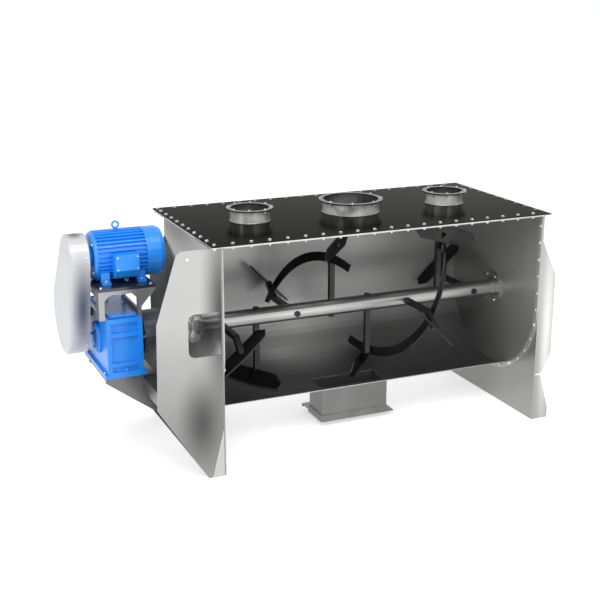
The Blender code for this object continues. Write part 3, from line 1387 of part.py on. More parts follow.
def build():
    clear_scene()
    make_collections()
    make_materials()
    trough_shell()
    trough_flange("trough_flange_drive", X_DRIVE_INNER + GAP, X_DRIVE_INNER + GAP + FLANGE)
    trough_flange("trough_flange_far", X_FAR_INNER - GAP - FLANGE, X_FAR_INNER - GAP)
    front_rim()
    far_end_plate()
    drive_end_plate()
    front_cheek()
    rear_cheek()
    cross_beam()
    gearbox_base_plate()
    gusset("gusset_front", -GUSSET_SPREAD)
    gusset("gusset_rear", GUSSET_SPREAD)
    lid()
    lid_seal()
    for x, radius, name in port_places():
        inlet_port(x, radius, name)
    discharge_chute()
    chute_collar()
    slide_gate()
    main_shaft()
    for number, (x, angle) in enumerate(arm_places(), 1):
        paddle_arm(number, x, angle)
    ribbon("ribbon_drive_side", 2, 3, *DRIVE_RIBBON_TAILS, -1)
    ribbon("ribbon_far_side", 4, 6, *FAR_RIBBON_TAILS, 1)
    seal_flange("drive_seal_flange", X_DRIVE_INNER + GAP)
    seal_flange("far_seal_flange", X_FAR_INNER - GAP - SEAL)
    bearing("drive_bearing", X_DRIVE_OUTER - GAP, -1, False)
    bearing("far_bearing", X_FAR_OUTER + GAP, 1, True)
    coupling_half("coupling_half_shaft", coupling_face() + GAP, 1, JOURNAL_RADIUS)
    coupling_half("coupling_half_gearbox", coupling_face() - GAP, -1, OUTPUT_RADIUS)
    gearbox_output_shaft()
    gearbox_housing()
    gearbox_top_cover()
    gearbox_end_cover()
    gearbox_input_shaft()
    motor_frame()
    motor_drive_shield()
    motor_fan_cowl()
    motor_fan()
    motor_shaft()
    terminal_box()
    terminal_box_lid()
    eyebolt()
    motor_plate()
    bracket_side_left()
    motor_bracket()
    pulley("motor_pulley", SMALL_PULLEY_RADIUS, MOTOR_SHAFT_RADIUS, 0.0, MOTOR_HEIGHT)
    pulley("input_pulley", LARGE_PULLEY_RADIUS, INPUT_RADIUS, INPUT_OFFSET, INPUT_HEIGHT)
    for number, place in enumerate(groove_places(), 1):
        belt(number, place)
    guard_cover()
    guard_back_plate()


build()
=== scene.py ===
# %% [markdown]
# A ribbon blender is a long steel trough with a paddled shaft through it, driven by a geared
# motor at one end. Its main forms come ready from the CAD model. This lesson gives them their
# finishes and adds what a plain solid lacks: bolts, welds, plugs and fittings.

# %% Load the frame
import json
import math
import random

import bpy
from mathutils import Matrix, Vector


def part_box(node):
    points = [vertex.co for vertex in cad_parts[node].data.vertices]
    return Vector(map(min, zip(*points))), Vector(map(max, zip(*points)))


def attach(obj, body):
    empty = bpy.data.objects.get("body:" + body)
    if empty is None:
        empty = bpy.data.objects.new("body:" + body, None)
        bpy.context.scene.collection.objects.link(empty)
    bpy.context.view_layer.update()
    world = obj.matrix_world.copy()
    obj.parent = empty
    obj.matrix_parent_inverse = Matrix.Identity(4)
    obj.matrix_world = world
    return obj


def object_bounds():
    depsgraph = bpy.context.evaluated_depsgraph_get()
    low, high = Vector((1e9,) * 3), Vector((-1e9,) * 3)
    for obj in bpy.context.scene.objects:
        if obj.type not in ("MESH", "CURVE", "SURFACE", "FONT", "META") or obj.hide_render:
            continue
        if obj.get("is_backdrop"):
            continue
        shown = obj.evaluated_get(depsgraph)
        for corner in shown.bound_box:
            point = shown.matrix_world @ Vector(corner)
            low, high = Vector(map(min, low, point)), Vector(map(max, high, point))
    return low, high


SEED = 7
SHAFT = Vector((0.0, 0.0, 0.700))

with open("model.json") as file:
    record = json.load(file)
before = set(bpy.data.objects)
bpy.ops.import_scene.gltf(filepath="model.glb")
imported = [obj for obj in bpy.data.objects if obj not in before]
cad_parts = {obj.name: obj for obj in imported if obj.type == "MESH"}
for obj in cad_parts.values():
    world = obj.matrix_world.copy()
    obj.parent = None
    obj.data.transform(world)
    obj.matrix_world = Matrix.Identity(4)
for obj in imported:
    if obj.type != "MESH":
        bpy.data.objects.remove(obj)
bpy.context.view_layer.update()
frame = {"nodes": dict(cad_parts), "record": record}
nodes = frame["nodes"]
dice = random.Random(SEED)

# %% [markdown]
# The camera stands to the front left, a little above the lid. A long lens keeps the trough's
# edges nearly parallel, as in a product photograph. The position, direction and lens were
# fitted to the trough's straight edges.

# %% Camera
CAMERA_PLACE = Vector((-2.5061, -5.6717, 2.5901))
CAMERA_AIM = Vector((0.3829, 0.8794, -0.2830))
LENS = 67.57

camera_data = bpy.data.cameras.new("camera")
camera_data.lens = LENS
camera = bpy.data.objects.new("camera", camera_data)
bpy.context.scene.collection.objects.link(camera)
camera.location = CAMERA_PLACE
camera.rotation_euler = CAMERA_AIM.to_track_quat("-Z", "Y").to_euler()
bpy.context.scene.camera = camera
bpy.context.scene.view_settings.view_transform = "Standard"
print("camera", round((CAMERA_PLACE - SHAFT).length, 2), "m from the shaft's middle")

# %% [markdown]
# A shader is wired from small nodes. These helpers add a node, set or link its inputs, and
# hand back its output, so that the materials below can be read as sums.

# %% Wiring
def link(tree, source, target):
    tree.links.new(source, target)


def feed(tree, value, socket):
    """Sets a socket to a number, or links another socket to it."""
    if isinstance(value, (int, float)):
        socket.default_value = value
    else:
        link(tree, value, socket)


def math_node(tree, operation, first, second=None, third=None):
    node = tree.nodes.new("ShaderNodeMath")
    node.operation = operation
    for socket, value in zip(node.inputs, (first, second, third)):
        if value is not None:
            feed(tree, value, socket)
    return node.outputs[0]


def vector_node(tree, operation, first, second):
    node = tree.nodes.new("ShaderNodeVectorMath")
    node.operation = operation
    link(tree, first, node.inputs[0])
    link(tree, second, node.inputs[1])
    return node.outputs[0]


def spread(tree, value, low, high, to_low, to_high, smooth=False):
    """Maps a value from one range to another, held at the ends."""
    node = tree.nodes.new("ShaderNodeMapRange")
    node.interpolation_type = "SMOOTHSTEP" if smooth else "LINEAR"
    link(tree, value, node.inputs["Value"])
    for label, number in (("From Min", low), ("From Max", high), ("To Min", to_low), ("To Max", to_high)):
        feed(tree, number, node.inputs[label])
    return node.outputs[0]


def surface_point(tree):
    """The point that is shaded, in metres."""
    return tree.nodes.new("ShaderNodeTexCoord").outputs["Object"]


def split(tree, vector):
    node = tree.nodes.new("ShaderNodeSeparateXYZ")
    link(tree, vector, node.inputs[0])
    return tuple(node.outputs)


def noise(tree, point, scale, detail, distortion=0.0):
    node = tree.nodes.new("ShaderNodeTexNoise")
    node.inputs["Detail"].default_value = detail
    node.inputs["Distortion"].default_value = distortion
    link(tree, point, node.inputs["Vector"])
    feed(tree, scale, node.inputs["Scale"])
    return node.outputs[0]


def distance(tree, first, second):
    """The length of an offset, from its parts along two axes."""
    square = math_node(tree, "MULTIPLY", second, second)
    return math_node(tree, "SQRT", math_node(tree, "MULTIPLY_ADD", first, first, square))


def seen_rays(tree):
    """1 for rays from the camera and from shiny or clear surfaces, 0 for the light that falls."""
    rays = tree.nodes.new("ShaderNodeLightPath")
    shiny = math_node(tree, "MAXIMUM", rays.outputs["Is Glossy Ray"], rays.outputs["Is Transmission Ray"])
    return math_node(tree, "MAXIMUM", rays.outputs["Is Camera Ray"], shiny)


print("wiring helpers ready")

# %% [markdown]
# The picture has a plain white background. The world is white for the camera and for shiny
# surfaces, which show the room they stand in, and weaker as a light, so that pale sheet keeps
# its tone and doesn't burn out.

# %% World
WHITE = (1.0, 1.0, 1.0, 1.0)
DIFFUSE_LEVEL = 0.70

world = bpy.data.worlds.new("white_room")
bpy.context.scene.world = world
world.use_nodes = True
tree = world.node_tree
tree.nodes.clear()
background = tree.nodes.new("ShaderNodeBackground")
background.inputs[0].default_value = WHITE
link(tree, spread(tree, seen_rays(tree), 0.0, 1.0, DIFFUSE_LEVEL, 1.0), background.inputs[1])
output = tree.nodes.new("ShaderNodeOutputWorld")
link(tree, background.outputs[0], output.inputs[0])
print("world lights at", DIFFUSE_LEVEL, "and shows at 1.0")

# %% [markdown]
# The floor is pale and plain, and keeps the machine's shadow. A little light of its own, seen
# by the same rays that see the white world, carries it up to the background.

# %% Floor
FLOOR_SIZE = 60.0
FLOOR_DROP = 0.0005
FLOOR_COLOUR = (0.86, 0.86, 0.86, 1.0)
FLOOR_ROUGHNESS = 0.9
FLOOR_LIFT = 0.50


def deselect():
    if bpy.context.mode != "OBJECT":
        bpy.ops.object.mode_set(mode="OBJECT")
    bpy.ops.object.select_all(action="DESELECT")


deselect()
bpy.ops.mesh.primitive_plane_add(size=FLOOR_SIZE, location=(0.0, 0.0, -FLOOR_DROP))
floor = bpy.context.active_object
floor.name = "studio_floor"
floor_material = bpy.data.materials.new("pale_floor")
floor_material.use_nodes = True
tree = floor_material.node_tree
shader = tree.nodes["Principled BSDF"]
shader.inputs["Base Color"].default_value = FLOOR_COLOUR
shader.inputs["Roughness"].default_value = FLOOR_ROUGHNESS
shader.inputs["Emission Color"].default_value = WHITE
link(tree, math_node(tree, "MULTIPLY", seen_rays(tree), FLOOR_LIFT), shader.inputs["Emission Strength"])
floor.data.materials.append(floor_material)
floor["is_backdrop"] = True
print("floor", FLOOR_SIZE, "m across")

# %% [markdown]
# Three large soft lamps light the machine: one overhead to the front, a weaker one from the
# left for the motor, and a low one along the open front, which keeps the paddles readable.

# %% Lamps
# Each row gives a name, a place, a size in metres and a power in watts
LAMPS = (
    ("overhead", (-1.5, -3.0, 4.8), 3.5, 150.0),
    ("left", (-5.0, -2.0, 2.6), 2.5, 60.0),
    ("front", (1.5, -6.0, 1.8), 3.0, 55.0),
)
for name, place, size, power in LAMPS:
    lamp_data = bpy.data.lights.new(name, "AREA")
    lamp_data.shape = "SQUARE"
    lamp_data.size = size
    lamp_data.energy = power
    lamp = bpy.data.objects.new(name, lamp_data)
    bpy.context.scene.collection.objects.link(lamp)
    lamp.location = place
    lamp.rotation_euler = (SHAFT - Vector(place)).to_track_quat("-Z", "Y").to_euler()
    print("lamp", name, power, "W")

# %% [markdown]
# Every finish needs the same few effects, so each is a node group that is built once. The
# first two are a fine grain, which can be stretched into brushing lines, and soft stains for
# handling marks and dust, which on the inlet tubes also lay on painted reflection streaks.

# %% Grain and stains
FLOAT = "NodeSocketFloat"
VECTOR = "NodeSocketVector"
GRAIN_DETAIL = 4.0
STAIN_DETAIL = 6.0
STAIN_DISTORTION = 0.4


def new_group(name, inputs, output):
    group = bpy.data.node_groups.new(name, "ShaderNodeTree")
    for label, kind, value in inputs:
        socket = group.interface.new_socket(label, in_out="INPUT", socket_type=kind)
        socket.default_value = value
    group.interface.new_socket(output, in_out="OUTPUT", socket_type=FLOAT)
    return group, group.nodes.new("NodeGroupInput"), group.nodes.new("NodeGroupOutput")


def make_grain():
    inputs = [("Stretch", VECTOR, (1.0, 1.0, 1.0)), ("Scale", FLOAT, 40.0)]
    group, start, end = new_group("fine_grain", inputs, "Grain")
    point = vector_node(group, "MULTIPLY", surface_point(group), start.outputs["Stretch"])
    link(group, noise(group, point, start.outputs["Scale"], GRAIN_DETAIL), end.inputs["Grain"])
    return group


# Stains, and on the inlet tubes painted reflection streaks
def make_stain_and_sheen():
    inputs = [("Scale", FLOAT, 3.0), ("Low", FLOAT, 0.4), ("High", FLOAT, 0.7)]
    group, start, end = new_group("soft_stain_and_sheen", inputs, "Mask")
    cloud = noise(group, surface_point(group), start.outputs["Scale"], STAIN_DETAIL, STAIN_DISTORTION)
    mask = spread(group, cloud, start.outputs["Low"], start.outputs["High"], 0.0, 1.0, smooth=True)
    link(group, mask, end.inputs["Mask"])
    return group


GRAIN = make_grain()
STAIN_AND_SHEEN = make_stain_and_sheen()
print("effects", GRAIN.name, STAIN_AND_SHEEN.name)

# %% [markdown]
# Large sheet is never one even tone. Upright sheet is painted darker towards the floor, a painted
# shade and dark reflection, and the trough's inside is painted darker from its bottom up. The
# third effect is that painted shade: a mask that rises with height, broken up by noise; the fourth
# tells the inside of the trough from its outside by the distance from the middle plane or, in the
# round bottom, from its axis.

# %% Height and inside
ROUND_HEIGHT = 0.682
WALL_MIDDLE = 0.452
WANDER_SCALE = 2.2
WANDER_DETAIL = 3.0


# A mask for painted shade, darker towards the floor
def make_height_shade():
    inputs = [("Low", FLOAT, 0.2), ("High", FLOAT, 1.1), ("Broken", FLOAT, 0.15)]
    group, start, end = new_group("height_shade_mask", inputs, "Mask")
    point = surface_point(group)
    _, _, z = split(group, point)
    wander = math_node(group, "SUBTRACT", noise(group, point, WANDER_SCALE, WANDER_DETAIL), 0.5)
    height = math_node(group, "MULTIPLY_ADD", wander, start.outputs["Broken"], z)
    mask = spread(group, height, start.outputs["Low"], start.outputs["High"], 0.0, 1.0, smooth=True)
    link(group, mask, end.inputs["Mask"])
    return group


def make_inside():
    group, start, end = new_group("inside_mask", [("Wall", FLOAT, WALL_MIDDLE)], "Mask")
    _, y, z = split(group, surface_point(group))
    below = math_node(group, "MINIMUM", math_node(group, "SUBTRACT", z, ROUND_HEIGHT), 0.0)
    mask = math_node(group, "LESS_THAN", distance(group, below, y), start.outputs["Wall"])
    link(group, mask, end.inputs["Mask"])
    return group


HEIGHT_SHADE = make_height_shade()
INSIDE = make_inside()
print("effects", HEIGHT_SHADE.name, INSIDE.name)

# %% [markdown]
# Bright sheet shows soft patches of reflected light and shade, which are painted on. The fifth
# effect is one such painted patch of light and shade, fading out from its middle. The sixth finds
# what lies within an upright tube, and the seventh what lies within a box.

# %% Patches, tubes and boxes
# A soft patch of painted light and shade
def make_shading_spot():
    inputs = [("Centre", VECTOR, (0.0, 0.0, 0.0)), ("Size", VECTOR, (1.0, 1.0, 1.0))]
    group, start, end = new_group("painted_shading_spot", inputs, "Mask")
    offset = vector_node(group, "SUBTRACT", surface_point(group), start.outputs["Centre"])
    length = group.nodes.new("ShaderNodeVectorMath")
    length.operation = "LENGTH"
    link(group, vector_node(group, "DIVIDE", offset, start.outputs["Size"]), length.inputs[0])
    mask = spread(group, length.outputs["Value"], 0.0, 1.0, 1.0, 0.0, smooth=True)
    link(group, mask, end.inputs["Mask"])
    return group


def make_tube():
    inputs = [("Centre", VECTOR, (0.0, 0.0, 0.0)), ("Radius", FLOAT, 0.1)]
    group, start, end = new_group("tube_mask", inputs, "Mask")
    offset = vector_node(group, "SUBTRACT", surface_point(group), start.outputs["Centre"])
    x, y, _ = split(group, offset)
    mask = math_node(group, "LESS_THAN", distance(group, x, y), start.outputs["Radius"])
    link(group, mask, end.inputs["Mask"])
    return group


def make_box():
    inputs = [("Centre", VECTOR, (0.0, 0.0, 0.0)), ("Half", VECTOR, (1.0, 1.0, 1.0))]
    group, start, end = new_group("box_mask", inputs, "Mask")
    offset = vector_node(group, "SUBTRACT", surface_point(group), start.outputs["Centre"])
    share = vector_node(group, "DIVIDE", offset, start.outputs["Half"])
    x, y, z = (math_node(group, "ABSOLUTE", part) for part in split(group, share))
    farthest = math_node(group, "MAXIMUM", math_node(group, "MAXIMUM", x, y), z)
    link(group, math_node(group, "LESS_THAN", farthest, 1.0), end.inputs["Mask"])
    return group


SHADING_SPOT = make_shading_spot()
TUBE = make_tube()
BOX = make_box()
print("effects", SHADING_SPOT.name, TUBE.name, BOX.name)

# %% [markdown]
# A finish is a base colour and a slightly different one where the surface is stained, a range
# of roughness, and a bump from the grain. In test renders a range that took in about 0.27 showed
# the grain as speckle, most likely because the noise filter treats smoother surfaces as mirrors,
# so each range stays on one side of it. Brushed sheet has its grain stretched along the sheet;
# paint has an even, very shallow one, like orange peel; cast iron has a coarse one.

# %% One finish
GRAIN_LOW = 0.3
GRAIN_HIGH = 0.7
BUMP_DEPTH = 0.001


def group_node(tree, group, **values):
    node = tree.nodes.new("ShaderNodeGroup")
    node.node_tree = group
    for label, value in values.items():
        node.inputs[label].default_value = value
    return node.outputs[0]


def blend_colours(tree, mask, first, second):
    mix = tree.nodes.new("ShaderNodeMix")
    mix.data_type = "RGBA"
    for socket, colour in ((mix.inputs[6], first), (mix.inputs[7], second)):
        if isinstance(colour, tuple):
            socket.default_value = (*colour, 1.0)
        else:
            link(tree, colour, socket)
    link(tree, mask, mix.inputs[0])
    return mix.outputs[2]


def make_finish(name, colour, stain_and_sheen, rough, metal, stretch, scale, bump,
                stain_and_sheen_scale=3.0, coat=0.0, low=None):
    """A procedural material. low is the colour near the floor, where that differs: a painted shade."""
    material = bpy.data.materials.new(name)
    material.use_nodes = True
    tree = material.node_tree
    shader = tree.nodes["Principled BSDF"]
    shader.inputs["Metallic"].default_value = metal
    shader.inputs["Coat Weight"].default_value = coat
    grain = group_node(tree, GRAIN, Stretch=stretch, Scale=scale)
    tone = blend_colours(tree, group_node(tree, STAIN_AND_SHEEN, Scale=stain_and_sheen_scale), colour, stain_and_sheen)
    if low is not None:
        tone = blend_colours(tree, group_node(tree, HEIGHT_SHADE), low, tone)
    link(tree, tone, shader.inputs["Base Color"])
    link(tree, spread(tree, grain, GRAIN_LOW, GRAIN_HIGH, *rough), shader.inputs["Roughness"])
    relief = tree.nodes.new("ShaderNodeBump")
    relief.inputs["Strength"].default_value = bump
    relief.inputs["Distance"].default_value = BUMP_DEPTH
    link(tree, grain, relief.inputs["Height"])
    link(tree, relief.outputs[0], shader.inputs["Normal"])
    return material


def repaint(material, group, colour, **values):
    """Lays another colour over a finish where a mask shows it."""
    tree = material.node_tree
    socket = tree.nodes["Principled BSDF"].inputs["Base Color"]
    mask = group_node(tree, group, **values)
    link(tree, blend_colours(tree, mask, socket.links[0].from_socket, colour), socket)


def grey(level):
    return (level, level, level * 0.99)


print("finish maker ready")

# %% [markdown]
# The steel finishes come first. The sheet is brushed upright on the end plates and lengthwise
# on the trough, in fine straight lines; the shaft is turned, so its lines run round it; and the
# lid is polished, its near-black colour a painted dark reflection. A dark tint at grazing angles
# paints that dark reflection from low down too. The near-black dark steel is a painted dark
# reflection as well.

# %% Steel finishes
ALONG = (0.15, 30.0, 30.0)
UPRIGHT = (30.0, 30.0, 0.15)
AROUND = (8.0, 1.0, 1.0)
EVEN = (1.0, 1.0, 1.0)
# Tint of the lid's reflections at grazing angles, a painted dark reflection
LID_DARK_REFLECTION = grey(0.36)
# Each row gives colour, stained colour, roughness, metal, grain, its scale, bump and stains' scale
STEELS = {
    "brushed_steel": (grey(0.48), grey(0.41), (0.28, 0.35), 0.85, ALONG, 16.0, 0.02),
    "shaded_steel": (grey(0.16), grey(0.11), (0.29, 0.36), 0.85, ALONG, 16.0, 0.015),
    "bracket_steel": (grey(0.34), grey(0.26), (0.28, 0.35), 0.8, UPRIGHT, 16.0, 0.015),
    # The lid's near-black colour is a painted dark reflection
    "mirror_steel": (grey(0.024), grey(0.032), (0.15, 0.19), 1.0, ALONG, 12.0, 0.002, 1.4),
    "turned_steel": (grey(0.40), grey(0.32), (0.28, 0.34), 0.90, AROUND, 10.0, 0.01, 2.0),
    # Near black: a painted dark reflection of the dark trough
    "dark_steel": (grey(0.040), grey(0.022), (0.28, 0.38), 0.8, EVEN, 90.0, 0.05),
    "zinc": (grey(0.72), grey(0.55), (0.18, 0.265), 0.8, EVEN, 300.0, 0.04, 40.0),
    "weld_steel": ((0.42, 0.40, 0.36), (0.26, 0.24, 0.25), (0.30, 0.45), 0.9, EVEN, 260.0, 0.15, 30.0),
}
FINISHES = {name: make_finish(name, *values) for name, values in STEELS.items()}
shader = FINISHES["mirror_steel"].node_tree.nodes["Principled BSDF"]
shader.inputs["Specular Tint"].default_value = (*LID_DARK_REFLECTION, 1.0)
print("steel finishes", len(FINISHES))

# %% [markdown]
# Blue paint, rubber, the seal and oil aren't metal to the eye, so their colour comes from
# scattered light. The other paints have some metallic sheen, and bare iron has more. A thin
# clear coat gives the blue paint its shine.

# %% Other finishes
# The same values as above, and last the clear coat
OTHERS = {
    "blue_paint": ((0.01, 0.245, 0.82), (0.008, 0.215, 0.76), (0.3, 0.36), 0.0, EVEN, 30.0, 0.004, 3.0, 0.12),
    "pale_paint": ((0.52, 0.53, 0.55), (0.47, 0.48, 0.50), (0.28, 0.32), 0.20, EVEN, 14.0, 0.002, 2.0),
    # The motor plate: paint, its near-black bluish colour a painted reflection of the blue motor above
    "plate_paint_and_reflection": ((0.05, 0.055, 0.07), (0.035, 0.04, 0.05), (0.14, 0.22), 0.6, EVEN, 120.0, 0.01, 6.0, 0.3),
    "grey_iron": ((0.11, 0.12, 0.14), (0.07, 0.075, 0.085), (0.38, 0.60), 0.7, EVEN, 170.0, 0.25, 14.0),
    "bright_iron": (grey(0.50), grey(0.36), (0.29, 0.42), 0.8, EVEN, 170.0, 0.12, 14.0),
    "black_rubber": (grey(0.020), grey(0.045), (0.70, 0.90), 0.0, EVEN, 220.0, 0.20, 12.0),
    "white_seal": ((0.80, 0.80, 0.77), (0.66, 0.66, 0.62), (0.50, 0.65), 0.0, EVEN, 200.0, 0.08, 12.0),
    "oil_glass": ((0.42, 0.22, 0.04), (0.30, 0.14, 0.02), (0.04, 0.08), 0.0, EVEN, 60.0, 0.01, 20.0, 1.0),
}
FINISHES.update({name: make_finish(name, *values) for name, values in OTHERS.items()})
print("finishes in all", len(FINISHES))

# %% [markdown]
# The trough is one welded sheet, but its two sides look quite different: brushed and clean
# outside, and inside a smooth dull grey. One material shows both, by the inside mask. Inside,
# painted shade darkens it towards the bottom, and over that lie painted highlights, two paler
# patches high on the rear wall and one low in the middle, a painted shadow as a darker band under
# the lid, and painted shade as a dark bottom at the drive end.

# %% Trough finish
INSIDE_TOP = grey(0.27)
INSIDE_PAINTED_SHADE = grey(0.09)
# Each patch gives a colour, its middle and its half size
TROUGH_PAINTED_SHADING = (
    (grey(0.42), (-0.45, 0.45, 1.00), (0.42, 0.30, 0.24)),
    (grey(0.38), (0.62, 0.45, 1.02), (0.26, 0.30, 0.24)),
    (grey(0.55), (0.10, 0.36, 0.44), (0.55, 0.40, 0.28)),
    (grey(0.12), (-0.10, 0.45, 1.20), (0.55, 0.20, 0.12)),
    (grey(0.16), (-0.45, 0.10, 0.30), (0.50, 0.60, 0.16)),
)
trough = make_finish("trough_steel", grey(0.48), grey(0.41), (0.28, 0.32), 0.45, ALONG, 6.0, 0.0015, 2.0)
tree = trough.node_tree
# Painted shade, darker towards the trough's bottom
depth = group_node(tree, HEIGHT_SHADE, Low=0.20, High=0.60, Broken=0.10)
inside = blend_colours(tree, depth, INSIDE_PAINTED_SHADE, INSIDE_TOP)
for colour, middle, size in TROUGH_PAINTED_SHADING:
    inside = blend_colours(tree, group_node(tree, SHADING_SPOT, Centre=middle, Size=size), inside, colour)
repaint(trough, INSIDE, inside)
FINISHES["trough_steel"] = trough
print("trough inside from", INSIDE_PAINTED_SHADE[0], "to", INSIDE_TOP[0])

# %% [markdown]
# The end plates and cheeks are large flat sheets, so each gets its own few soft patches of
# painted light and shade. The front cheek has painted shade low down and along its edge by the
# trough. The far plate has painted shade low on its inner face and a painted highlight along its
# front edge. The drive plate has painted shade high at the back, and in front of the shaft. The
# cheek and the far plate are also painted darker towards the floor, as painted shade.

# %% Plate finishes
# The same values as for the steels, and last the clear coat and the colour near the floor (painted shade)
PLATES = {
    "cheek_steel": (grey(0.44), grey(0.39), (0.20, 0.265), 0.85, UPRIGHT, 12.0, 0.01, 2.0, 0.0, grey(0.25)),
    "far_plate_steel": (
        grey(0.39), grey(0.35), (0.28, 0.34), 0.60, UPRIGHT, 10.0, 0.006, 1.2, 0.0, grey(0.34)),
    "drive_plate_steel": (grey(0.26), grey(0.21), (0.12, 0.18), 0.90, UPRIGHT, 12.0, 0.008, 2.0),
}
# Each patch gives a finish, a colour, its middle and its half size
PLATE_PAINTED_SHADING = (
    ("cheek_steel", grey(0.08), (-0.800, -0.485, 0.32), (0.17, 0.40, 0.34)),
    ("cheek_steel", grey(0.07), (-0.684, -0.485, 0.90), (0.13, 0.40, 0.75)),
    ("far_plate_steel", grey(0.20), (1.260, 0.30, 0.45), (0.40, 0.60, 0.55)),
    ("far_plate_steel", grey(0.46), (1.262, -0.47, 0.90), (0.12, 0.28, 0.60)),
    ("far_plate_steel", grey(0.75), (1.330, -0.47, 0.60), (0.065, 0.30, 0.90)),
    ("drive_plate_steel", grey(0.035), (-0.690, 0.28, 1.19), (0.20, 0.60, 0.17)),
    ("drive_plate_steel", grey(0.030), (-0.690, -0.24, 0.74), (0.08, 0.24, 0.20)),
)
FINISHES.update({name: make_finish(name, *values) for name, values in PLATES.items()})
for name, colour, middle, size in PLATE_PAINTED_SHADING:
    repaint(FINISHES[name], SHADING_SPOT, colour, Centre=middle, Size=size)
print("plate finishes", len(PLATES), "with", len(PLATE_PAINTED_SHADING), "patches")

# %% [markdown]
# An inlet's tube is satin, and its bright and dark streaks are painted reflections, laid on by
# the same mask as the stains. Its ring is near black like the lid, a painted dark reflection,
# and its bore is painted dark as shade, because only the trough is below it. The discharge
# chute is dull, and an even grey within.

# %% Inlet and chute finishes
INLETS = ("inlet_port_drive", "inlet_port_centre", "inlet_port_far")
RING_WIDTH = 0.0215
RING_THICKNESS = 0.008
MASK_MARGIN = 0.0015
RING_MARGIN = 0.0005
PAST_RING = 1.0
RING_DARK_REFLECTION = grey(0.030)
BORE_PAINTED_SHADE = grey(0.060)
CHUTE_INSIDE = grey(0.20)
for node in INLETS:
    low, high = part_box(node)
    centre = (low + high) / 2
    bore = (high.x - low.x) / 2 - RING_WIDTH - MASK_MARGIN
    # Bright tube colour with darker streaks: painted reflections
    tube = make_finish(node + "_steel", grey(0.80), grey(0.34), (0.16, 0.22), 0.50, UPRIGHT, 1.1, 0.002, 9.0)
    repaint(tube, TUBE, BORE_PAINTED_SHADE, Centre=centre, Radius=bore)
    ring_half = (PAST_RING, PAST_RING, RING_THICKNESS + RING_MARGIN)
    repaint(tube, BOX, RING_DARK_REFLECTION, Centre=(centre.x, centre.y, high.z), Half=ring_half)
    FINISHES[node + "_steel"] = tube
chute = make_finish("chute_steel", grey(0.21), grey(0.165), (0.29, 0.35), 0.80, UPRIGHT, 12.0, 0.010, 3.0)
low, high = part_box("discharge_chute")
half = (high - low) / 2
within = (half.x - MASK_MARGIN, half.y - MASK_MARGIN, half.z)
repaint(chute, BOX, CHUTE_INSIDE, Centre=(low + high) / 2, Half=within)
FINISHES["chute_steel"] = chute
print("tube finishes, chute", [round(value, 3) for value in half])

# %% [markdown]
# The belt guard is pale sheet. Its narrow side to the front carries a bluish painted shade and
# reflection, darker than the flat face, and a small patch of painted shade darkens its top.

# %% Guard finish
# Each patch gives a colour, its middle and its half size
GUARD_PAINTED_SHADE = (
    ((0.035, 0.050, 0.095), (-1.300, -0.090, 0.86), (0.080, 0.18, 0.42)),
    ((0.05, 0.05, 0.06), (-1.315, 0.0, 1.272), (0.060, 0.10, 0.030)),
)
for colour, middle, size in GUARD_PAINTED_SHADE:
    repaint(FINISHES["pale_paint"], SHADING_SPOT, colour, Centre=middle, Size=size)
print("guard patches", len(GUARD_PAINTED_SHADE))

# %% [markdown]
# The CAD record names a finish for each piece. A few pieces differ from the rest of their
# slot, such as the turned shaft among the brushed sheet, and are named here.

# %% Dressing the CAD pieces
SPECIAL = {
    "cheek_steel": ("front_cheek", "rear_cheek"),
    "far_plate_steel": ("far_end_plate",),
    "drive_plate_steel": ("drive_end_plate",),
    "chute_steel": ("discharge_chute", "chute_collar", "slide_gate"),
    "bracket_steel": ("motor_bracket", "bracket_side_left"),
    "shaded_steel": ("gusset_front", "gusset_rear", "cross_beam", "gearbox_base_plate"),
    "trough_steel": ("trough_shell", "trough_flange_drive", "trough_flange_far"),
    "turned_steel": ("main_shaft", "far_seal_flange", "drive_seal_flange"),
    "plate_paint_and_reflection": ("motor_plate",),
    "bright_iron": ("drive_bearing", "far_bearing"),
    "blue_paint": ("eyebolt",),
}
finish_of = {name: finish for finish, names in SPECIAL.items() for name in names}
finish_of.update({node: node + "_steel" for node in INLETS})
for part in frame["record"]["subparts"]:
    name = part["node"]
    mesh = nodes[name].data
    mesh.materials.clear()
    mesh.materials.append(FINISHES[finish_of.get(name, part["material_slot"])])
print("dressed", len(nodes), "nodes,", len(finish_of), "of them specially")

# %% [markdown]
# Bolts are what tells the eye how large a machine is. One hexagon bolt is modelled by hand for
# each size: a six-sided cylinder with its upper edge chamfered, on a thin washer, and for a
# through bolt a nut and the bolt's end on the other side. The rest are copies of it.

# %% One bolt
FACES_UP = 0.9
HEX_SIDES = 6
WASHER_SIDES = 20
THREAD_SIDES = 12
# Shares of the thread's diameter
FLATS = 1.6
WASHER = 0.16
HEAD = 0.64
NUT = 0.8
THREAD_END = 1.2
HEX_CHAMFER = 0.08
THREAD_CHAMFER = 0.1
# A share of the washer's thickness
WASHER_CHAMFER = 0.3


def select_faces(obj, test):
    deselect()
    bpy.context.view_layer.objects.active = obj
    obj.select_set(True)
    mesh = obj.data
    for group in (mesh.vertices, mesh.edges, mesh.polygons):
        group.foreach_set("select", [False] * len(group))
    for face in mesh.polygons:
        face.select = test(face)
    bpy.ops.object.mode_set(mode="EDIT")
    bpy.ops.mesh.select_mode(type="FACE")


def prism(sides, radius, low, high, chamfer, outer=1.0):
    """A cylinder from low to high whose outer end, up or down, is chamfered."""
    deselect()
    middle = (0.0, 0.0, (low + high) / 2)
    bpy.ops.mesh.primitive_cylinder_add(vertices=sides, radius=radius, depth=high - low, location=middle)
    obj = bpy.context.active_object
    bpy.ops.object.transform_apply(location=True, rotation=True, scale=True)
    select_faces(obj, lambda face: face.normal.z * outer > FACES_UP)
    bpy.ops.mesh.bevel(offset=chamfer, segments=1, affect="EDGES")
    bpy.ops.object.mode_set(mode="OBJECT")
    return obj


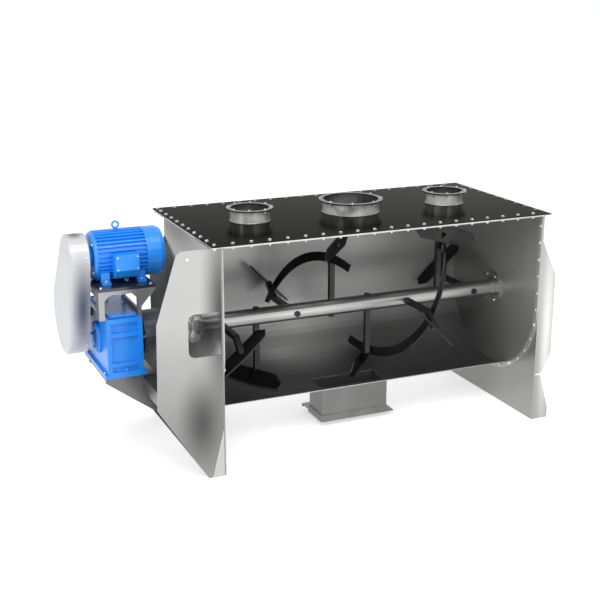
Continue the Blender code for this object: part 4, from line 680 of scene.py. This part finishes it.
def merge(parts, name):
    deselect()
    for part in parts:
        part.select_set(True)
    bpy.context.view_layer.objects.active = parts[0]
    bpy.ops.object.join()
    obj = bpy.context.active_object
    obj.name = name
    obj.data.name = name
    return obj


def bolt(size, grip=None):
    """A bolt of this thread size whose seat is at the origin; grip gives it a nut that far below."""
    corners = size * FLATS / math.cos(math.radians(30.0)) / 2
    washer = size * WASHER
    rim = washer * WASHER_CHAMFER
    edge = size * HEX_CHAMFER
    parts = [
        prism(WASHER_SIDES, size, 0.0, washer, rim),
        prism(HEX_SIDES, corners, washer, washer + size * HEAD, edge),
    ]
    if grip is not None:
        under = -grip - washer
        nut_end = under - size * NUT
        tail = under - size * THREAD_END
        parts.append(prism(WASHER_SIDES, size, under, -grip, rim, -1.0))
        parts.append(prism(HEX_SIDES, corners, nut_end, under, edge, -1.0))
        parts.append(prism(THREAD_SIDES, size / 2, tail, nut_end, size * THREAD_CHAMFER, -1.0))
    return merge(parts, "bolt_model")


print("bolt maker ready")

# %% [markdown]
# Thin sheet is held by small screws with a round head and a key socket. The socket is made as
# in a press: the top face is inset, then pushed down into the head.

# %% One cap screw
SCREW_SIDES = 16
# Shares of the thread's diameter
SCREW_RADIUS = 0.85
SCREW_HEAD = 0.8
SCREW_CHAMFER = 0.12
SOCKET_RIM = 0.30
SOCKET_DEPTH = 0.45


def hollow(obj, rim, depth):
    """Pushes the top face down, all but a rim."""
    select_faces(obj, lambda face: face.normal.z > FACES_UP)
    bpy.ops.mesh.inset(thickness=rim)
    bpy.ops.mesh.extrude_region_move(TRANSFORM_OT_translate={"value": (0.0, 0.0, -depth)})
    bpy.ops.object.mode_set(mode="OBJECT")


def cap_screw(size):
    head = prism(SCREW_SIDES, size * SCREW_RADIUS, 0.0, size * SCREW_HEAD, size * SCREW_CHAMFER)
    hollow(head, size * SOCKET_RIM, size * SOCKET_DEPTH)
    head.name = "screw_model"
    return head


print("screw maker ready")

# %% [markdown]
# A fitter never leaves the heads all at one angle, so each copy is turned by a random amount
# from a fixed seed. All copies in one place become a single piece.

# %% Setting bolts
UP = (0.0, 0.0, 1.0)
DOWN = (0.0, 0.0, -1.0)
FRONT = (0.0, -1.0, 0.0)
BACK = (0.0, 1.0, 0.0)
LEFT = (-1.0, 0.0, 0.0)
RIGHT = (1.0, 0.0, 0.0)


def finish_piece(piece, name, body, finish):
    piece.name = name
    piece.data.name = name
    piece.data.materials.clear()
    piece.data.materials.append(FINISHES[finish])
    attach(piece, body)


def fasten(name, model, places, body, finish="zinc"):
    """Copies a model to each (point, outward direction) and joins the copies into one piece."""
    copies = []
    for point, outward in places:
        copy = model.copy()
        copy.data = model.data.copy()
        bpy.context.scene.collection.objects.link(copy)
        turn = Matrix.Rotation(dice.uniform(0.0, math.tau), 4, "Z")
        aim = Vector(outward).to_track_quat("Z", "Y").to_matrix().to_4x4()
        copy.data.transform(Matrix.Translation(point) @ aim @ turn)
        copies.append(copy)
    bpy.data.objects.remove(model, do_unlink=True)
    print(name, len(places), "pieces")
    finish_piece(merge(copies, name), name, body, finish)


def grid(xs, ys, z):
    """Upward places wherever these lines cross, at one height."""
    return [(Vector((x, y, z)), UP) for x in xs for y in ys]


def ring(centre, radius, count, outward, start=0.0):
    """Places round a circle that faces up, left or right."""
    places = []
    for i in range(count):
        turn = start + math.tau * i / count
        u, v = radius * math.cos(turn), radius * math.sin(turn)
        offset = (u, v, 0.0) if outward is UP else (0.0, u, v)
        places.append((centre + Vector(offset), outward))
    return places


def on_shaft(x):
    return Vector((x, SHAFT.y, SHAFT.z))


print("placing helpers ready")

# %% [markdown]
# The lid is bolted to the rims at every 100 mm. Along the two long sides and the drive end the
# bolts go through with a nut below. At the far end the edge lies over a fold where no nut can
# be reached, so there they are set screws.

# %% Lid bolts
LID_BOLT = 0.010
LID_PITCH = 0.100
SIDE_COUNT = 20
SIDE_ROW = 0.487
SIDE_FIRST = -0.7165
END_COUNT = 9
END_FIRST = -0.387
DRIVE_END_ROW = -0.720
FAR_END_ROW = 1.270
_, lid_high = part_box("lid")
rim_low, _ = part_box("front_rim")
grip = lid_high.z - rim_low.z
places = []
for y in (-SIDE_ROW, SIDE_ROW):
    for i in range(SIDE_COUNT):
        places.append((Vector((SIDE_FIRST + LID_PITCH * i, y, lid_high.z)), UP))
fasten("lid_bolts_long_sides", bolt(LID_BOLT, grip), places, "frame")
column = [END_FIRST + LID_PITCH * i for i in range(END_COUNT)]
fasten("lid_bolts_drive_end", bolt(LID_BOLT, grip), grid((DRIVE_END_ROW,), column, lid_high.z), "frame")
fasten("lid_screws_far_end", bolt(LID_BOLT), grid((FAR_END_ROW,), column, lid_high.z), "frame")

# %% [markdown]
# Each inlet ends in a flat ring with eight bolts for the feed pipe. The short tube is welded to
# the lid all round, which leaves a thin bead at its foot: a torus of the tube's own size.

# %% Inlet bolts and welds
RING_BOLT = 0.008
RING_COUNT = 8
RING_INSET = 0.011
RING_TURN = math.radians(22.5)
FOOT_BEAD = 0.0025
FOOT_BEAD_LIFT = 0.001
FOOT_BEAD_GAP = 0.0005
for node in INLETS:
    low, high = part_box(node)
    centre = (low + high) / 2
    centre.z = high.z
    outer = (high.x - low.x) / 2
    places = ring(centre, outer - RING_INSET, RING_COUNT, UP, RING_TURN)
    fasten(node + "_bolts", bolt(RING_BOLT, RING_THICKNESS), places, "frame")
    deselect()
    bpy.ops.mesh.primitive_torus_add(
        location=(centre.x, centre.y, low.z + FOOT_BEAD_LIFT),
        major_radius=outer - RING_WIDTH + FOOT_BEAD_GAP,
        minor_radius=FOOT_BEAD,
        major_segments=72,
        minor_segments=8,
    )
    bead = bpy.context.active_object
    bpy.ops.object.transform_apply(location=True, rotation=True, scale=True)
    bpy.ops.object.shade_smooth()
    finish_piece(bead, node + "_weld", "frame", "weld_steel")

# %% [markdown]
# A flange at each end of the trough is bolted to the end plate: five bolts up each straight
# side and a row of sixteen round the bottom. At the drive end no heads show up the front side,
# where the cheek stands close, so they are left out there.

# %% Trough flange bolts
FLANGE_BOLT = 0.010
FLANGE_ROW = 0.4705
FLANGE_HEIGHTS = (0.782, 0.882, 0.982, 1.082, 1.182)
FLANGE_ROUND_COUNT = 16
flange_places = [(y, z) for y in (-FLANGE_ROW, FLANGE_ROW) for z in FLANGE_HEIGHTS]
for i in range(FLANGE_ROUND_COUNT):
    turn = math.pi + math.pi * i / (FLANGE_ROUND_COUNT - 1)
    y, z = FLANGE_ROW * math.cos(turn), ROUND_HEIGHT + FLANGE_ROW * math.sin(turn)
    flange_places.append((y, z))
shown = [(y, z) for y, z in flange_places if y > 0.0 or z < ROUND_HEIGHT]
for node, spots, outward in (
    ("trough_flange_drive", shown, RIGHT),
    ("trough_flange_far", flange_places, LEFT),
):
    low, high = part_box(node)
    face = high.x if outward is RIGHT else low.x
    places = [(Vector((face, y, z)), outward) for y, z in spots]
    fasten(node + "_bolts", bolt(FLANGE_BOLT), places, "frame")

# %% [markdown]
# The bearings, shaft seals and the coupling are held by rings of bolts about the shaft. The
# coupling turns with the agitator, so its bolts ride on that body.

# %% Shaft line bolts
BEARING_BOLT = 0.012
BEARING_ROW = 0.081
BEARING_FLANGE = 0.016
SEAL_BOLT = 0.008
SEAL_ROW = 0.085
COUPLING_BOLT = 0.012
COUPLING_ROW = 0.0925
COUPLING_FLANGE = 0.050
for node, outward in (("drive_bearing", LEFT), ("far_bearing", RIGHT)):
    low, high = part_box(node)
    face = high.x - BEARING_FLANGE if outward is LEFT else low.x + BEARING_FLANGE
    places = ring(on_shaft(face), BEARING_ROW, 4, outward, math.pi / 4)
    fasten(node + "_bolts", bolt(BEARING_BOLT), places, "frame")
for node, outward in (("drive_seal_flange", RIGHT), ("far_seal_flange", LEFT)):
    low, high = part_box(node)
    face = high.x if outward is RIGHT else low.x
    fasten(node + "_bolts", bolt(SEAL_BOLT), ring(on_shaft(face), SEAL_ROW, 6, outward), "frame")
low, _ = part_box("coupling_half_shaft")
places = ring(on_shaft(low.x + COUPLING_FLANGE), COUPLING_ROW, 6, RIGHT)
fasten("coupling_bolts", bolt(COUPLING_BOLT, 2 * COUPLING_FLANGE), places, "agitator")

# %% [markdown]
# The gearbox is a casting closed by two covers and bolted down at its feet. The covers' bolts
# are small and close together, because they hold oil in.

# %% Gearbox bolts
COVER_BOLT = 0.008
COVER_INSET = 0.012
END_COVER_ROW = 0.074
GEARBOX_FOOT = 0.020
GEARBOX_FOOT_BOLT = 0.007
GEARBOX_FOOT_INSET = 0.0075
GEARBOX_FOOT_ROWS = (-0.150, 0.240)
low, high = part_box("gearbox_top_cover")
xs = (low.x + COVER_INSET, (low.x + high.x) / 2, high.x - COVER_INSET)
ys = (low.y + COVER_INSET, (low.y + high.y) / 2, high.y - COVER_INSET)
places = [(Vector((x, y, high.z)), UP) for x in xs for y in ys if (x, y) != (xs[1], ys[1])]
fasten("gearbox_cover_bolts", bolt(COVER_BOLT), places, "frame", "blue_paint")
low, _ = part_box("gearbox_end_cover")
places = ring(on_shaft(low.x), END_COVER_ROW, 6, LEFT)
fasten("gearbox_end_bolts", bolt(COVER_BOLT), places, "frame", "blue_paint")
low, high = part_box("gearbox_housing")
foot_xs = (low.x + GEARBOX_FOOT_INSET, high.x - GEARBOX_FOOT_INSET)
places = grid(foot_xs, GEARBOX_FOOT_ROWS, low.z + GEARBOX_FOOT)
fasten("gearbox_foot_bolts", bolt(GEARBOX_FOOT_BOLT), places, "frame")

# %% [markdown]
# Oil needs a way in, a way out and a way to be seen. A breather with a mushroom cap stands on
# the cover, a drain plug sits low on the front, and a round sight glass at the back shows the
# level: a bezel with a bead of amber glass.

# %% Oil fittings
# Each row of a fitting gives sides, radius, foot, top and chamfer
BREATHER = (
    (6, 0.013, 0.0, 0.010, 0.001),
    (16, 0.007, 0.010, 0.018, 0.001),
    (20, 0.015, 0.018, 0.030, 0.004),
)
PLUG = ((16, 0.013, 0.0, 0.002, 0.0005), (6, 0.010, 0.002, 0.010, 0.001))
BEZEL = (24, 0.018, 0.0, 0.007, 0.002)
GLASS = (24, 0.0115, 0.0025, 0.006, 0.0015)
BEZEL_RIM = 0.004
BEZEL_DEPTH = 0.003
BREATHER_INSET = 0.055
PLUG_HEIGHT = 0.044
SIGHT_HEIGHT = 0.150
SIGHT_INSET = 0.012


def stack(rows, name):
    """Prisms one on the other, joined into a model."""
    return merge([prism(*row) for row in rows], name)


low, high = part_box("gearbox_top_cover")
place = Vector(((low.x + high.x) / 2, high.y - BREATHER_INSET, high.z))
fasten("gearbox_breather", stack(BREATHER, "breather_model"), [(place, UP)], "frame")
low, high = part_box("gearbox_housing")
middle = (low.x + high.x) / 2
place = Vector((middle, low.y, low.z + PLUG_HEIGHT))
fasten("gearbox_drain_plug", stack(PLUG, "plug_model"), [(place, FRONT)], "frame", "blue_paint")
sight = Vector((middle, high.y - SIGHT_INSET, low.z + SIGHT_HEIGHT))
bezel = prism(*BEZEL)
hollow(bezel, BEZEL_RIM, BEZEL_DEPTH)
fasten("gearbox_sight_bezel", bezel, [(sight, BACK)], "frame")
fasten("gearbox_sight_glass", prism(*GLASS), [(sight, BACK)], "frame", "oil_glass")

# %% [markdown]
# The motor is bolted to its plate through four feet, and the plate to the bracket at its
# corners. The end shield is drawn onto the frame by bolts as well.

# %% Motor bolts
MOTOR_HEIGHT = 1.146
MOTOR_FOOT = 0.016
MOTOR_FOOT_BOLT = 0.008
MOTOR_FOOT_INSET = 0.0345
MOTOR_FOOT_ROW = 0.121
PLATE_BOLT = 0.010
PLATE_INSET_X = 0.020
PLATE_INSET_Y = 0.015
SHIELD_BOLT = 0.007
SHIELD_ROW = 0.105
SHIELD_FACE = 0.0093
low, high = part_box("motor_frame")
foot_xs = (low.x + MOTOR_FOOT_INSET, high.x - MOTOR_FOOT_INSET)
places = grid(foot_xs, (-MOTOR_FOOT_ROW, MOTOR_FOOT_ROW), low.z + MOTOR_FOOT)
fasten("motor_foot_bolts", bolt(MOTOR_FOOT_BOLT), places, "frame")
low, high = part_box("motor_plate")
xs = (low.x + PLATE_INSET_X, high.x - PLATE_INSET_X)
ys = (low.y + PLATE_INSET_Y, high.y - PLATE_INSET_Y)
fasten("motor_plate_bolts", bolt(PLATE_BOLT), grid(xs, ys, high.z), "frame")
low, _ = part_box("motor_drive_shield")
places = ring(Vector((low.x + SHIELD_FACE, 0.0, MOTOR_HEIGHT)), SHIELD_ROW, 4, LEFT, math.pi / 4)
fasten("motor_shield_bolts", bolt(SHIELD_BOLT), places, "frame")

# %% [markdown]
# The terminal box has a lid with a screw at each corner, and a cable gland below, closed by a
# plug until the machine is wired.

# %% Terminal box fittings
LID_SCREW = 0.005
LID_SCREW_INSET = 0.010
GLAND = ((6, 0.013, 0.0, 0.007, 0.001), (20, 0.0105, 0.007, 0.016, 0.003))
low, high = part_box("terminal_box_lid")
xs = (low.x + LID_SCREW_INSET, high.x - LID_SCREW_INSET)
zs = (low.z + LID_SCREW_INSET, high.z - LID_SCREW_INSET)
places = [(Vector((x, low.y, z)), FRONT) for x in xs for z in zs]
fasten("terminal_lid_screws", cap_screw(LID_SCREW), places, "frame")
low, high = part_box("terminal_box")
place = Vector(((low.x + high.x) / 2, (low.y + high.y) / 2, low.z))
fasten("terminal_gland", stack(GLAND, "gland_model"), [(place, DOWN)], "frame", "grey_iron")

# %% [markdown]
# The belt guard is a deep sheet cover pushed over a back plate. Its screws go in round the edge,
# square to the curved side, so their places follow the guard's two arcs.

# %% Guard and cowl screws
GUARD_SCREW = 0.006
GUARD_SCREW_X = -1.2755
COWL_SCREW = 0.005
COWL_SCREW_INSET = 0.012
COWL_RADIUS = 0.1298
COWL_TURNS = (45.0, 135.0, 225.0, 315.0)
# Each arc gives the depth and height of its middle, its radius and the screws' angles
UPPER_ARC = (0.0, MOTOR_HEIGHT, 0.1249, (60.0, 115.0, 170.0))
LOWER_ARC = (0.170, 0.790, 0.2150, (215.0, 270.0, 325.0, 20.0))


def arc(x, y, z, radius, turns):
    """Places on a curved side, each facing outward; 0 degrees is to the back and 90 is up."""
    places = []
    for turn in turns:
        outward = Vector((0.0, math.cos(math.radians(turn)), math.sin(math.radians(turn))))
        places.append((Vector((x, y, z)) + outward * radius, outward))
    return places


places = arc(GUARD_SCREW_X, *UPPER_ARC) + arc(GUARD_SCREW_X, *LOWER_ARC)
fasten("guard_screws", cap_screw(GUARD_SCREW), places, "frame")
low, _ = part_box("motor_fan_cowl")
places = arc(low.x + COWL_SCREW_INSET, 0.0, MOTOR_HEIGHT, COWL_RADIUS, COWL_TURNS)
fasten("cowl_screws", cap_screw(COWL_SCREW), places, "frame", "blue_paint")

# %% [markdown]
# Where steel is joined for good it is welded. A weld is a row of overlapping ripples, so one
# flattened bead is modelled and set every few millimetres along the joint, each a little
# different.

# %% Weld beads
BEAD_RADIUS = 0.003
BEAD_PITCH = 0.0045
BEAD_FLATNESS = 0.8
BEAD_WANDER = 0.0004
COLLAR_LIFT = 0.0005
GUSSET_SIDE = 0.0005
GUSSET_END = 0.0008
GUSSET_FOOT = 0.010
GUSSET_TOP = 0.004


def weld(name, runs):
    """Beads along each (start, end), joined into one piece."""
    deselect()
    bpy.ops.mesh.primitive_uv_sphere_add(segments=8, ring_count=5, radius=BEAD_RADIUS)
    model = bpy.context.active_object
    model.scale = (1.0, 1.0, BEAD_FLATNESS)
    bpy.ops.object.transform_apply(location=True, rotation=True, scale=True)
    bpy.ops.object.shade_smooth()
    places = []
    for start, end in runs:
        start, end = Vector(start), Vector(end)
        count = max(2, int((end - start).length / BEAD_PITCH))
        for i in range(count + 1):
            wander = Vector([dice.uniform(-BEAD_WANDER, BEAD_WANDER) for _ in range(3)])
            places.append((start.lerp(end, i / count) + wander, (end - start).normalized()))
    fasten(name, model, places, "frame", "weld_steel")


low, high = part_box("discharge_chute")
_, collar_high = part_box("chute_collar")
z = collar_high.z + COLLAR_LIFT
corners = [(low.x, low.y, z), (high.x, low.y, z), (high.x, high.y, z), (low.x, high.y, z)]
weld("chute_collar_weld", zip(corners, corners[1:] + corners[:1]))
runs = []
for node in ("gusset_front", "gusset_rear"):
    low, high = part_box(node)
    x = high.x - GUSSET_END
    for y in (low.y - GUSSET_SIDE, high.y + GUSSET_SIDE):
        runs.append(((x, y, low.z + GUSSET_FOOT), (x, y, high.z - GUSSET_TOP)))
weld("gusset_welds", runs)

# %% [markdown]
# The cheek carries one bolt near its top corner. At its foot a small sheet gusset is laid over
# the corner, where the plate is folded along the floor. The gusset starts as a filled circle of
# three points, which take their real places, and then it gets its thickness and soft edges.

# %% Cheek bolt and foot gusset
CHEEK_BOLT = 0.010
CHEEK_BOLT_X = -0.8597
CHEEK_BOLT_Z = 1.2022
GUSSET_OUTLINE = ((-0.6845, 0.275), (-0.751, 0.004), (-0.6845, 0.004))
GUSSET_SHEET = 0.003
GUSSET_GAP = 0.0003
GUSSET_EDGE = 0.0008
low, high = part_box("front_cheek")
place = Vector((CHEEK_BOLT_X, low.y, CHEEK_BOLT_Z))
fasten("cheek_bolt", bolt(CHEEK_BOLT, high.y - low.y), [(place, FRONT)], "frame")
deselect()
bpy.ops.mesh.primitive_circle_add(vertices=3, fill_type="NGON")
gusset = bpy.context.active_object
for vertex, (x, z) in zip(gusset.data.vertices, GUSSET_OUTLINE):
    vertex.co = (x, low.y - GUSSET_GAP, z)
select_faces(gusset, lambda face: True)
bpy.ops.mesh.extrude_region_move(TRANSFORM_OT_translate={"value": (0.0, -GUSSET_SHEET, 0.0)})
bpy.ops.mesh.select_all(action="SELECT")
bpy.ops.mesh.normals_make_consistent(inside=False)
bpy.ops.object.mode_set(mode="OBJECT")
edge = gusset.modifiers.new("edge", "BEVEL")
edge.width = GUSSET_EDGE
edge.segments = 2
deselect()
bpy.context.view_layer.objects.active = gusset
gusset.select_set(True)
bpy.ops.object.modifier_apply(modifier="edge")
finish_piece(gusset, "foot_gusset", "frame", "brushed_steel")
print("foot gusset", len(gusset.data.polygons), "faces")

# %% [markdown]
# Each bearing takes grease through a nipple on its boss: a small hexagon, a neck and a ball.

# %% Grease nipples
NIPPLE = (
    (6, 0.005, 0.0, 0.005, 0.0006),
    (12, 0.0026, 0.005, 0.011, 0.0004),
    (12, 0.0034, 0.011, 0.0145, 0.0012),
)
NIPPLE_INSET = 0.012
BOSS_RADIUS = 0.0612
drive_low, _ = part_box("drive_bearing")
_, far_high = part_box("far_bearing")
boss_top = Vector((0.0, 0.0, BOSS_RADIUS))
places = [(on_shaft(x) + boss_top, UP) for x in (drive_low.x + NIPPLE_INSET, far_high.x - NIPPLE_INSET)]
fasten("grease_nipples", stack(NIPPLE, "nipple_model"), places, "frame")

low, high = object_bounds()
print("visual box", low, high)
